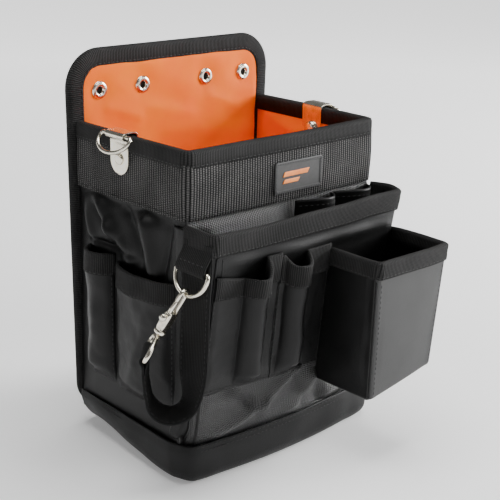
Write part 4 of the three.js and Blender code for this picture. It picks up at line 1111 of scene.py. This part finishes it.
def box_front_y(z):
    return box_edge(BOX_FRONT + 3, BOX_FRONT, z)


def box_left(z):
    return box_edge(23, 21, z)


def box_right(z):
    return box_edge(92, 101, z)


def box_floor(u):
    return mix(BOX_Z, BOX_Z + 12, u)


def box_face(u, v):
    """Front of the box pocket, its side edges rolled back over the corners."""
    z = mix(box_floor(u), BOX_TOP, v)
    x = mix(box_left(z), box_right(z), u)
    near = min(x - box_left(z), box_right(z) - x)
    roll = rounded(near, 3.2) + rounded(z - box_floor(u), 2.4)
    swell = 1.4 * math.sin(math.pi * u) * math.sin(math.pi * clamp(v) ** 0.8) + crinkle(x, 0, z, 40, 0.7, 41)
    return (x, box_front_y(z) + roll - swell * ease(near / 10), z)


def box_side(side):
    def surface(u, v):
        low = BOX_Z if side < 0 else BOX_Z + 12
        z = mix(low, BOX_TOP, v)
        x = box_left(z) + 0.8 if side < 0 else box_right(z) - 0.8
        rear = pouch_y(min(x, 95), z) - 1.2
        if side > 0:
            rear += 5.0
            x = mix(pouch_right(z) - 1.0, x, ease(u * 6))
        y = mix(rear, box_front_y(z) + 3.0, u)
        sag = inside(u, 6) * ease(v * 7)
        swell = (1.6 * math.sin(math.pi * u) + crinkle(side, y, z, 22, 1.2, 42)) * sag
        swell -= fold((y, z), (rear - 4, 150), (y - 2, 90), 9, 1.2) * 0.4 * sag
        return (x + side * swell, y, z)
    return surface


def box_bottom(u, v):
    z = box_floor(u) + 0.8
    x = mix(box_left(z) + 0.7, box_right(z) - 0.7, u)
    y = mix(box_front_y(z) + 1.6, pouch_y(min(x, 95), z) - 1.4, v)
    return (x, y, z - 0.8 * math.sin(math.pi * u) * math.sin(math.pi * v) + 0.8)


def box_plan(z):
    left, right, front = box_left(z) + 0.8, box_right(z) - 0.8, box_front_y(z)
    rear_left, rear_right = pouch_y(left, z) - 1.6, pouch_y(95, z) - 1.6
    points = [(left, rear_left), (left - 0.6, mix(rear_left, front, 0.5)), (left, front + 6), (left + 1.2, front + 1.5),
              (left + 5, front + 0.2), (mix(left, right, 0.5), front - 0.6), (right - 5, front + 0.2),
              (right - 1.2, front + 1.5), (right, front + 6), (right + 0.6, mix(front, rear_right, 0.5)),
              (right - 0.2, rear_right), (pouch_right(z) - 0.6, rear_right + 5.5)]
    return smooth_plan(points, 220)


def box_sway(point, z):
    rear = ease((point.y + 100) / 30)
    return Vector((0, 0, crinkle(point.x, point.y, 0, 30, 0.8, 43) - 0.6 * rear))


def add_box_pocket():
    # The box front's lighter grey is painted light.
    cloth("box_face_cloth", box_face, 110, 90, SATIN_PAINTED_LIGHT, 1.5, ("box_pocket_front",))
    for name, side in (("left", -1), ("right", 1)):
        cloth(f"box_{name}_cloth", box_side(side), 60, 80, COATED, 1.5, (f"box_pocket_{name}_side",))
    cloth("box_bottom_cloth", box_bottom, 50, 40, COATED, 1.4, ("box_pocket_floor",))
    top = span("box_pocket_binding")[1][2]
    folded_tape("box_mouth_tape", box_plan, 2.3, top - 13.5, top - 0.3, ("box_pocket_binding",), box_sway)
    line = [(Vector((p.x, p.y, top - 12)) + box_sway(p, 0) + n * 2.85, n) for p, n in box_plan(top - 12)]
    stitches("box_mouth_stitches", [line])
    for name, u in (("left", 0.045), ("right", 0.955)):
        stitches(f"box_{name}_edge_stitches", [line_on(box_face, (u, 0.03), (u, 0.86), 0.85, 60)])
    add_welt("box_left_welt", box_side(-1), [(0.02, t / 10) for t in range(10)], -1.1)
    add_welt("box_corner_welt", box_face, [(0.006, 0.02 + t / 11.6) for t in range(11)], 0.9)


def inner_loop(x0, x1, seed):
    def surface(u, v):
        x = mix(x0, x1, u)
        z = mix(104, 203, v)
        belly = 13 * math.sin(math.pi * clamp(u, 0.001, 0.999) ** 1.5) ** 0.65 * drawn_in(v)
        droop = 1.2 * (1 - math.sin(math.pi * u)) * ease((v - 0.85) / 0.15)
        return (x, FRONT + 1.4 - belly + crinkle(x, seed, z, 16, 0.8, seed), z - droop)
    return surface


def add_inner_loops():
    for name, x0, x1, seed in (("left", 11, 51, 45), ("right", 53.5, 92, 47)):
        surface = inner_loop(x0, x1, seed)
        cloth(f"inner_loop_{name}_cloth", surface, 80, 50, COATED, 1.1, (f"inner_loop_{name}",))
        stitches(f"inner_loop_{name}_stitches", [line_on(surface, (0.04, 0.95), (0.96, 0.95), 0.7, 60)])


# ---------------------------------------------------------------- side pockets

def add_side_pocket(name, side, along, up, depth, seed):
    (y0, y1), (z0, z1) = along, up

    def surface(u, v):
        y = mix(y0, y1, u)
        z = mix(z0, z1, v)
        round_part = depth * math.sin(math.pi * clamp(u, 0.001, 0.999)) ** 0.55 * drawn_in(v) * mix(0.7, 1, v)
        slack = crinkle(seed, y, z, 17, 1.6, seed) + crinkle(seed, y, z, 7, 0.3, seed + 1)
        slack += 1.4 * fold((y, z), (mix(y0, y1, 0.75), z0 + 8), (mix(y0, y1, 0.4), z0 + 60), 6, 1.0)
        edge = inside(u, 7) * ease(v * 6)
        return (side * (WALL_HALF + 1.6 + 1.2 * edge + round_part + slack * edge), y, z)

    add_pocket(name, surface, z1 - z0, (100, 100), 0.03, 0.03, side)


# ---------------------------------------------------------------- base

BOOT_HALF = 103
BOOT_REAR = 98


def boot_plan(count):
    """Middle of the boot's cloth at its top with outward normals, from the left rear end round the front."""
    stand = 2.8
    front = [(x, pouch_y(x, BOOT_TOP) - stand) for x in range(-70, 71, 14)]
    corner = pouch_y(84, BOOT_TOP) - stand
    side = [(BOOT_REAR + 1, WALL_BACK - 0.5), (mix(BOOT_REAR, BOOT_HALF, 0.34) + 1, 30),
            (mix(BOOT_REAR, BOOT_HALF, 0.66) + 1, -10), (BOOT_HALF + 1, -46), (BOOT_HALF - 0.6, -58),
            (BOOT_HALF - 6.4, corner + 3.4), (85, corner - 0.6)]
    points = [(-x, y) for x, y in side] + front + [(x, y) for x, y in reversed(side)]
    return smooth_plan(points, count)


def boot_round(y):
    """Radius the boot turns under with: small at the front, larger towards the back panel."""
    return mix(31, 11, ease((62 - y) / 110))


def boot_rows(plan, section):
    rows = []
    for point, out in plan:
        radius = boot_round(point.y)
        row = []
        for kind, t in section:
            if kind == "wall":
                z = mix(BOOT_TOP - 0.2, radius, t)
                inset = 1.0 * ease((z - BOOT_TOP + 9) / 9)
            elif kind == "turn":
                angle = t * math.pi / 2
                z, inset = radius - radius * math.sin(angle) + 0.5, radius * (1 - math.cos(angle))
            else:
                z, inset = 0.5, radius + t
            z = max(z, heel_height(point.y) + 0.6)
            ripple = crinkle(point.x, point.y, z, 28, 1.4, 51) * ease(z / 12) * ease((BOOT_TOP + 6 - z) / 12)
            row.append(Vector((point.x, point.y, 0)) - out * (inset - ripple) + Vector((0, 0, z)))
        rows.append(row)
    return rows


HEEL = 22                                 # radius the base turns up with behind


def heel_height(y):
    """Lowest the base's cloth may be at y, where it turns up to the back panel."""
    return rounded(PANEL_FACE + 4 - y, HEEL)


def heel(u, v):
    """The base turned up behind to the back panel's lower edge, its corners taken in under the boot."""
    angle = min(v / 0.75, 1) * math.pi / 2
    y = PANEL_FACE + 4 - HEEL * (1 - math.cos(angle)) - 16 * max(v - 0.75, 0) / 0.25
    z = HEEL - HEEL * math.sin(angle) + 0.7
    half = BOOT_REAR - 0.4 - rounded(z, boot_round(min(y, 62)))
    x = mix(-half, half, u)
    corner = 1 - ease((half - abs(x)) / 16)
    ripple = crinkle(x, y, 0, 30, 0.8, 52) * ease(z / 8)
    return (x, y - 10 * corner, z + ripple + 11 * corner * max(1 - v / 0.5, 0) ** 2)


def add_base():
    plan = boot_plan(300)
    section = [("wall", k / 14) for k in range(15)] + [("turn", k / 12) for k in range(1, 13)]
    section += [("under", 3), ("under", 7)]
    sheet_of("boot_cloth", boot_rows(plan, section), BOOT, 1.2, ("base_boot",))
    for name, drop in (("upper", 2.0), ("lower", 5.2)):
        stand = 0.85 - ease((9 - drop) / 9)
        row = [(Vector((p.x, p.y, BOOT_TOP - drop)) + n * stand, n) for p, n in plan]
        stitches(f"boot_{name}_stitches", [row])
    cloth("heel_cloth", heel, 90, 30, BOOT, 1.2)
    ring = [Vector((p.x, min(p.y, 46), 0)) - n * (boot_round(p.y) + 2) for p, n in boot_plan(120)]
    rings = []
    for inset, z in ((0.6, 1.6), (0, 1.0), (0.2, 0.3), (0.9, 0.0), (4.0, 0.0)):
        rings.append([p * (1 - inset / 90) + Vector((0, 0, z)) for p in ring])
    section_loft("base_plate", rings, BOARD, nodes=("base_board",))


# ---------------------------------------------------------------- rings and rivets

def ring_points(half, depth, corner=3, count=96):
    """Closed D in its own plane: bar along the first axis, bow below."""
    right = [(half - corner * (1 - math.sin(a)), -corner * (1 - math.cos(a))) for a in (0.5, 1.05, 1.57)]
    turns = [math.pi * k / 18 for k in range(1, 18)]
    bow = [(half * math.cos(a), -corner - (depth - corner) * math.sin(a)) for a in turns]
    left = [(-x, z) for x, z in reversed(right)]
    points = [(corner - half, 0), (0, 0), (half - corner, 0)] + right + bow + left
    return smooth_path([(x, 0, z) for x, z in points], count, closed=True)


def add_ring(name, half, depth, bar, tilt, body, node):
    """D-ring whose bar lies along Y at bar; tilt is how far its bow stands out to -X, in degrees."""
    lean = math.radians(tilt)
    points = []
    for flat in ring_points(half, depth):
        points.append(Vector(bar) + Vector((flat.z * math.sin(lean), flat.x, flat.z * math.cos(lean))))
    wire(name, points, 1.5, NICKEL, body, (node,), closed=True, sides=18)


def add_hanger(name, side):
    """Nickel plate folded over the rim, rolled round a D-ring's bar and riveted through the wall."""
    middle = HANGERS[side]
    low, high = span(f"{name}_hanger_plate")
    outer_x = max(abs(low[0]), abs(high[0]))
    bar_x, bar_z, roll = 102.0, 254.6, 2.6
    skin = HALF + 1.15
    inner = LINING_HALF - 2.1
    top = high[2] - 0.5
    tip = low[2]
    path = [(skin, tip + 0.2), (skin, mix(tip, 246, 0.5)), (skin, 247.5), (skin + 0.4, 250.2),
            (bar_x - 0.6, bar_z - roll), (bar_x + 1.4, bar_z - roll * 0.8), (outer_x - 0.5, bar_z),
            (bar_x + 1.4, bar_z + roll * 0.8), (bar_x - 1.0, top - 0.2), (mix(inner, bar_x, 0.4), top),
            (inner + 1.6, top - 0.5), (inner, top - 3), (inner, 244), (inner, mix(tip, 244, 0.4)), (inner, tip + 0.2)]
    line = smooth_path([(x, 0, z) for x, z in path], 110)
    radius = 10.5

    def surface(u, v):
        """The plate's web at v along the fold, narrowed to a round tip at both ends."""
        point = line[min(int(v * 109.999), 109)]
        drop = tip + radius - point.z
        half = math.sqrt(max(radius ** 2 - max(drop, 0) ** 2, 0.3))
        return (side * point.x, middle + mix(-half, half, u), point.z)

    plate = cloth(f"{name}_hanger", surface, 24, 110, NICKEL, 1.0, (f"{name}_hanger_plate",))
    bevel = plate.modifiers.new("edges", "BEVEL")
    bevel.width = 0.0002
    bevel.segments = 2
    bevel.limit_method = "ANGLE"
    bevel.angle_limit = math.radians(50)
    outside = HALF + 1.75
    inside = LINING_HALF - 2.7
    profile = [(0, inside - 3.4), (3.0, inside - 3.3), (5.0, inside - 2.7), (6.2, inside - 1.6), (6.4, inside - 0.6),
               (6.0, inside), (2.0, inside), (2.0, outside), (4.4, outside), (4.5, outside + 0.3),
               (4.1, outside + 0.9), (3.0, outside + 1.35), (1.5, outside + 1.5), (0, outside + 1.5)]
    lathe(f"{name}_rivet", profile, (0, middle, 236.5), (side, 0, 0), NICKEL, "pouch", (f"{name}_hanger_rivet",))
    add_ring(f"{name}_ring", 17.5, 14.5, (side * bar_x, middle, bar_z), -38 * side, f"{name}_ring",
             f"{name}_d_ring")


# ---------------------------------------------------------------- tape holder

HOOK_BAR = Vector((-103.9, -78, 175))
RING_LEAN = math.radians(17)
HOOK_DOWN = Vector((-0.364, 0.346, -0.864)).normalized()
EYE_BAR = Vector((0.69, 0.72, 0)).normalized()
EYE_REACH = 52


def hook_origin():
    bottom = HOOK_BAR + Vector((-18.5 * math.sin(RING_LEAN), 0, -18.5 * math.cos(RING_LEAN)))
    return bottom + Vector((0, 3, 0.3)) + HOOK_DOWN * 1.1


def hook_axes(across):
    """Matrix from a piece drawn upright, its bight at the origin, to its place on the ring."""
    up = -HOOK_DOWN
    across = (across - up * across.dot(up)).normalized()
    depth = up.cross(across)
    turn = Matrix((across, depth, up)).transposed().to_4x4()
    return Matrix.Translation(hook_origin()) @ turn


def add_tab():
    """Webbing tab sewn on the gusset and folded round the ring's bar."""
    x = HOOK_BAR.x
    reach = 2.9
    path = [(x + 5.4, 0, 189), (x + 4.6, 0, 184.5), (x + 3.1, 0, 179)]
    path += [(x + reach * math.cos(a), 0, 175 + reach * math.sin(a)) for a in
             [math.radians(d) for d in (10, -25, -60, -95, -130, -165, -200)]]
    path += [(x - 0.9, 0, 180), (x + 1.3, 0, 183.5), (x + 3.2, 0, 186.5), (x + 4.6, 0, 189.5)]
    line = smooth_path(path, 120)

    def surface(u, v):
        point = line[min(int(v * 119.999), 119)]
        return (point.x, mix(-92.8, -63.2, u), point.z)

    cloth("hook_tab_web", surface, 40, 120, STRAP_WEB, 1.5, ("hook_tab",))
    seam_z = 180.6
    seam_x = min(line[60:], key=lambda p: abs(p.z - seam_z)).x - 0.85
    seam = [(Vector((seam_x, mix(-91.4, -64.6, t / 24), seam_z)), Vector((-1, 0, 0))) for t in range(25)]
    stitches("hook_tab_stitches", [seam])


def squircle(half_x, half_y, z):
    """Ring between a circle and a square, for the cast barrel."""
    points = []
    for k in range(40):
        c, s = math.cos(math.pi * k / 20), math.sin(math.pi * k / 20)
        points.append(Vector((0.1 + half_x * math.copysign(abs(c) ** 0.625, c),
                              half_y * math.copysign(abs(s) ** 0.625, s), z)))
    return points


def add_hook():
    """Bolt snap: a cast body with its bight, a spring bolt with a thumb knob, and a swivel eye."""
    place = hook_axes(Vector((-1, -0.25, 0)))
    radius = 4.6
    spine = [(-radius, 0, -20), (-radius, 0, -12), (-radius, 0, -5), (-radius, 0, 0)]
    bow = [(-radius * math.cos(a), 0, radius * 1.02 * math.sin(a)) for a in [math.pi * k / 12 for k in range(1, 12)]]
    path = smooth_path(spine + bow + [(radius, 0, 0), (radius, 0, -2.4), (radius, 0, -4.6)], 90)
    wire("hook_bight", [place @ p for p in path], lambda t: 1.9 - 0.35 * t, NICKEL, "bolt_snap", ("hook_body",))
    shell = [(-14.6, 5.2, 2.6), (-15.2, 6.2, 3.2), (-17, 6.7, 3.6), (-22, 6.8, 3.7), (-27, 6.4, 3.6), (-29.4, 5.2, 3.4),
             (-30.2, 4.0, 3.2)]
    rings = [[place @ p for p in squircle(hx, hy, z)] for z, hx, hy in shell]
    section_loft("hook_barrel", rings, NICKEL, "bolt_snap")
    collar = [(0, -29.6), (3.4, -29.6), (4.0, -30.0), (4.6, -30.6),
              (4.6, -32.4), (4.3, -33.0), (3.4, -33.6), (0, -33.7)]
    up = place.to_3x3() @ Vector((0, 0, 1))
    lathe("hook_collar", collar, place.translation, up, NICKEL, "bolt_snap")
    bolt_foot = place @ Vector((radius, 0, 0))
    bolt = [(0, -5.0), (1.1, -5.05), (1.5, -5.5), (1.5, -20), (0, -20)]
    lathe("hook_bolt_pin", bolt, bolt_foot, up, NICKEL, "snap_bolt", ("hook_bolt",), 24)
    knob_foot = place @ Vector((0, 0, -18.5))
    across = place.to_3x3() @ Vector((1, 0, 0))
    knob = [(0, 6.9), (1.4, 6.9), (1.4, 8.6), (2.1, 8.8), (2.6, 9.2), (2.7, 10.2), (2.4, 11.0), (1.4, 11.4), (0, 11.45)]
    lathe("hook_bolt_knob", knob, knob_foot, across, NICKEL, "snap_bolt", (), 28)

    eye = hook_axes(-EYE_BAR.cross(HOOK_DOWN))
    half, bar, neck = 17.1, -EYE_REACH, -36.1
    outline = [(-1.6, neck + 0.4), (-6, neck - 1.2), (-12.4, neck - 4.4), (-15.8, neck - 8), (-half, bar + 5),
               (-half + 1.3, bar + 1.3), (-half + 5, bar), (0, bar), (half - 5, bar), (half - 1.3, bar + 1.3),
               (half, bar + 5), (15.8, neck - 8), (12.4, neck - 4.4), (6, neck - 1.2), (1.6, neck + 0.4)]
    loop = smooth_path([(0, y, z) for y, z in outline], 120, closed=True)
    wire("swivel_eye", [eye @ p for p in loop], 1.75, NICKEL, "holder_loop", ("hook_eye",), closed=True, sides=18)
    post = [(0, -30.8), (1.9, -30.8), (2.0, -34.0), (2.3, -35.0), (3.0, -35.8), (3.2, -36.8), (2.4, -37.8), (0, -38.1)]
    lathe("swivel_post", post, eye.translation, eye.to_3x3() @ Vector((0, 0, 1)), NICKEL, "holder_loop")
    return eye @ Vector((0, 0, -EYE_REACH))


def add_holder_strap(bar):
    """Strap of 30 mm webbing: sewn under the tab, down the gusset, round and up to the eye's bar."""
    reach = 2.75
    end = bar - Vector((0, 0, reach + 1.5))
    path = [Vector(p) for p in ((-99.2, -78, 194), (-99.2, -78, 182), (-99.6, -78, 172), (-100.8, -78, 158),
                                (-101.6, -78, 140), (-102.0, -78, 118), (-102.6, -77.8, 98))]
    low, high = Vector((-103.4, -77.2, 80)), Vector((end.x + 0.8, end.y - 1.2, 82))
    middle, arm = (low + high) / 2, (high - low) / 2
    path += [middle - arm * math.cos(a) - Vector((0, 0, 17.5 * math.sin(a))) for a in
             [math.radians(d) for d in (0, 30, 60, 90, 120, 150, 180)]]
    path += [Vector((end.x - 1.2, end.y - 0.4, end.z - 8)), Vector((end.x - 1.8, end.y - 0.9, end.z + 0.5))]
    side = EYE_BAR.cross(Vector((0, 0, 1))).normalized()
    side *= math.copysign(1, (path[-1] - bar).dot(side))
    path += [bar + side * reach * math.cos(a) + Vector((0, 0, reach * math.sin(a))) for a in
             [math.radians(d) for d in (-30, 10, 50, 90, 130, 170, 210)]]
    path += [Vector((end.x + 1.5, end.y + 0.9, end.z - 5)), Vector((end.x + 1.0, end.y + 0.7, end.z - 22))]
    count = 260
    line = smooth_path(path, count)

    def surface(u, v):
        k = min(int(v * (count - 0.001)), count - 1)
        across = Vector((0, 1, 0)).lerp(EYE_BAR, ease((v - 0.38) / 0.28)).normalized()
        return tuple(line[k] + across * (mix(-15, 15, u) + crinkle(0, v * 60, 0, 9, 0.3, 61)))

    strap = cloth("holder_strap_web", surface, 30, count - 1, STRAP_WEB, 1.5, ("holder_strap",), None)
    bend(strap)
    for name, u in (("a", 0.08), ("b", 0.92)):
        rows = [line_on(surface, (u, 0.14), (u, 0.8), out, 160) for out in (0.95, -0.95)]
        stitches(f"holder_strap_stitches_{name}", rows, "holder_loop")


# ---------------------------------------------------------------- the whole pouch

add_back_panel()
add_snap_studs()
add_belt_strap("left_belt_strap", 1)
add_belt_strap("right_belt_strap", 3)
add_rim()
add_main_compartment()
add_label_patch()
add_front_compartment()
left_sleeve = sleeve((-93, -31.4), (76, 168), (-67, -46), 13.5, 1.2, 53, sags=True)
middle_sleeve = sleeve((-30.6, 21), (74, 165), (-26, -5), 13, 1.0, 55)
for name, surface in (("left", left_sleeve), ("middle", middle_sleeve)):
    add_pocket(f"tool_pocket_{name}", surface, 93, (120, 90), 0.018, 0.02)
add_box_pocket()
add_inner_loops()
add_side_pocket("narrow_side_pocket", -1, (20, 50), (54, 160), 12, 57)
add_side_pocket("wide_side_pocket", -1, (-53, 15), (50, 155), 11, 59)
add_side_pocket("right_side_pocket", 1, (-53, 15), (50, 155), 11, 63)
add_base()
add_hanger("left", -1)
add_hanger("right", 1)
add_tab()
add_ring("hook_ring", 16.8, 18.5, HOOK_BAR, 17, "holder_loop", "hook_d_ring")
add_holder_strap(add_hook())


# ---------------------------------------------------------------- camera, light and floor

def add_camera():
    lens = bpy.data.cameras.new("camera")
    lens.lens = 85.16
    lens.sensor_width = 36
    lens.clip_start = 0.01
    camera = bpy.data.objects.new("camera", lens)
    azimuth, elevation, roll = math.radians(-43.606), math.radians(18.068), math.radians(1.474)
    back = Vector((math.sin(azimuth) * math.cos(elevation), -math.cos(azimuth) * math.cos(elevation),
                   math.sin(elevation)))
    right = Vector((math.cos(azimuth), math.sin(azimuth), 0))
    up = right.cross(-back)
    tilted = right * math.cos(roll) + up * math.sin(roll)
    upright = up * math.cos(roll) - right * math.sin(roll)
    turn = Matrix((tilted, upright, back)).transposed().to_4x4()
    camera.matrix_world = Matrix.Translation(Vector((-0.61075, -0.66716, 0.44401))) @ turn
    bpy.context.scene.collection.objects.link(camera)
    bpy.context.scene.camera = camera


def add_light(name, place, aim, size, power):
    lamp = bpy.data.lights.new(name, "AREA")
    lamp.shape = "RECTANGLE"
    lamp.size, lamp.size_y = size
    lamp.energy = power
    light = bpy.data.objects.new(name, lamp)
    direction = Vector(aim) - Vector(place)
    light.matrix_world = Matrix.Translation(Vector(place)) @ direction.to_track_quat("-Z", "Y").to_matrix().to_4x4()
    bpy.context.scene.collection.objects.link(light)


def falloff(tree, source, socket, target, low, high, near, far):
    """Drives a target socket with a value that goes from near to far as the source goes from low to high."""
    ramp = tree.nodes.new("ShaderNodeMapRange")
    for key, value in {"From Min": low, "From Max": high, "To Min": near, "To Max": far}.items():
        ramp.inputs[key].default_value = value
    place = tree.nodes.new("ShaderNodeTexCoord").outputs[source]
    tree.links.new(place, socket.node.inputs[0])
    tree.links.new(socket, ramp.inputs["Value"])
    tree.links.new(ramp.outputs["Result"], target)


def add_floor():
    """Pale floor that glows a little further out, so that it runs into the bright strip at the horizon."""
    half = 40.0
    mesh = bpy.data.meshes.new("floor")
    mesh.from_pydata([(-half, -half, 0), (half, -half, 0), (half, half, 0), (-half, half, 0)], [], [(0, 1, 2, 3)])
    floor = bpy.data.objects.new("floor", mesh)
    bpy.context.scene.collection.objects.link(floor)
    paint = bpy.data.materials.new("floor")
    paint.use_nodes = True
    shader = next(n for n in paint.node_tree.nodes if n.type == "BSDF_PRINCIPLED")
    shader.inputs["Base Color"].default_value = (0.93, 0.93, 0.93, 1)
    shader.inputs["Roughness"].default_value = 0.9
    shader.inputs["Emission Color"].default_value = (1, 1, 1, 1)
    reach = paint.node_tree.nodes.new("ShaderNodeVectorMath")
    reach.operation = "LENGTH"
    falloff(paint.node_tree, "Object", reach.outputs["Value"], shader.inputs["Emission Strength"],
            0.3, 1.9, 0.22, 1.3)
    mesh.materials.append(paint)
    sky = bpy.context.scene.world or bpy.data.worlds.new("sky")
    bpy.context.scene.world = sky
    sky.use_nodes = True
    background = next(n for n in sky.node_tree.nodes if n.type == "BACKGROUND")
    background.inputs["Color"].default_value = (1, 1, 1, 1)
    split = sky.node_tree.nodes.new("ShaderNodeSeparateXYZ")
    falloff(sky.node_tree, "Generated", split.outputs["Z"], background.inputs["Strength"], 0.02, 0.12, 0.9, 0.13)


add_camera()
add_floor()
add_light("side", (1.75, -0.8, 0.75), (0, -0.05, 0.15), (0.7, 0.8), 60)
add_light("front", (0.5, -1.7, 1.4), (0, 0, 0.15), (0.9, 0.6), 11)
add_light("top", (0.0, 0.0, 1.9), (0, 0, 0.2), (1.4, 1.0), 34)
add_light("left", (-1.6, 0.5, 0.9), (-0.05, 0, 0.15), (0.25, 1.0), 1.5)
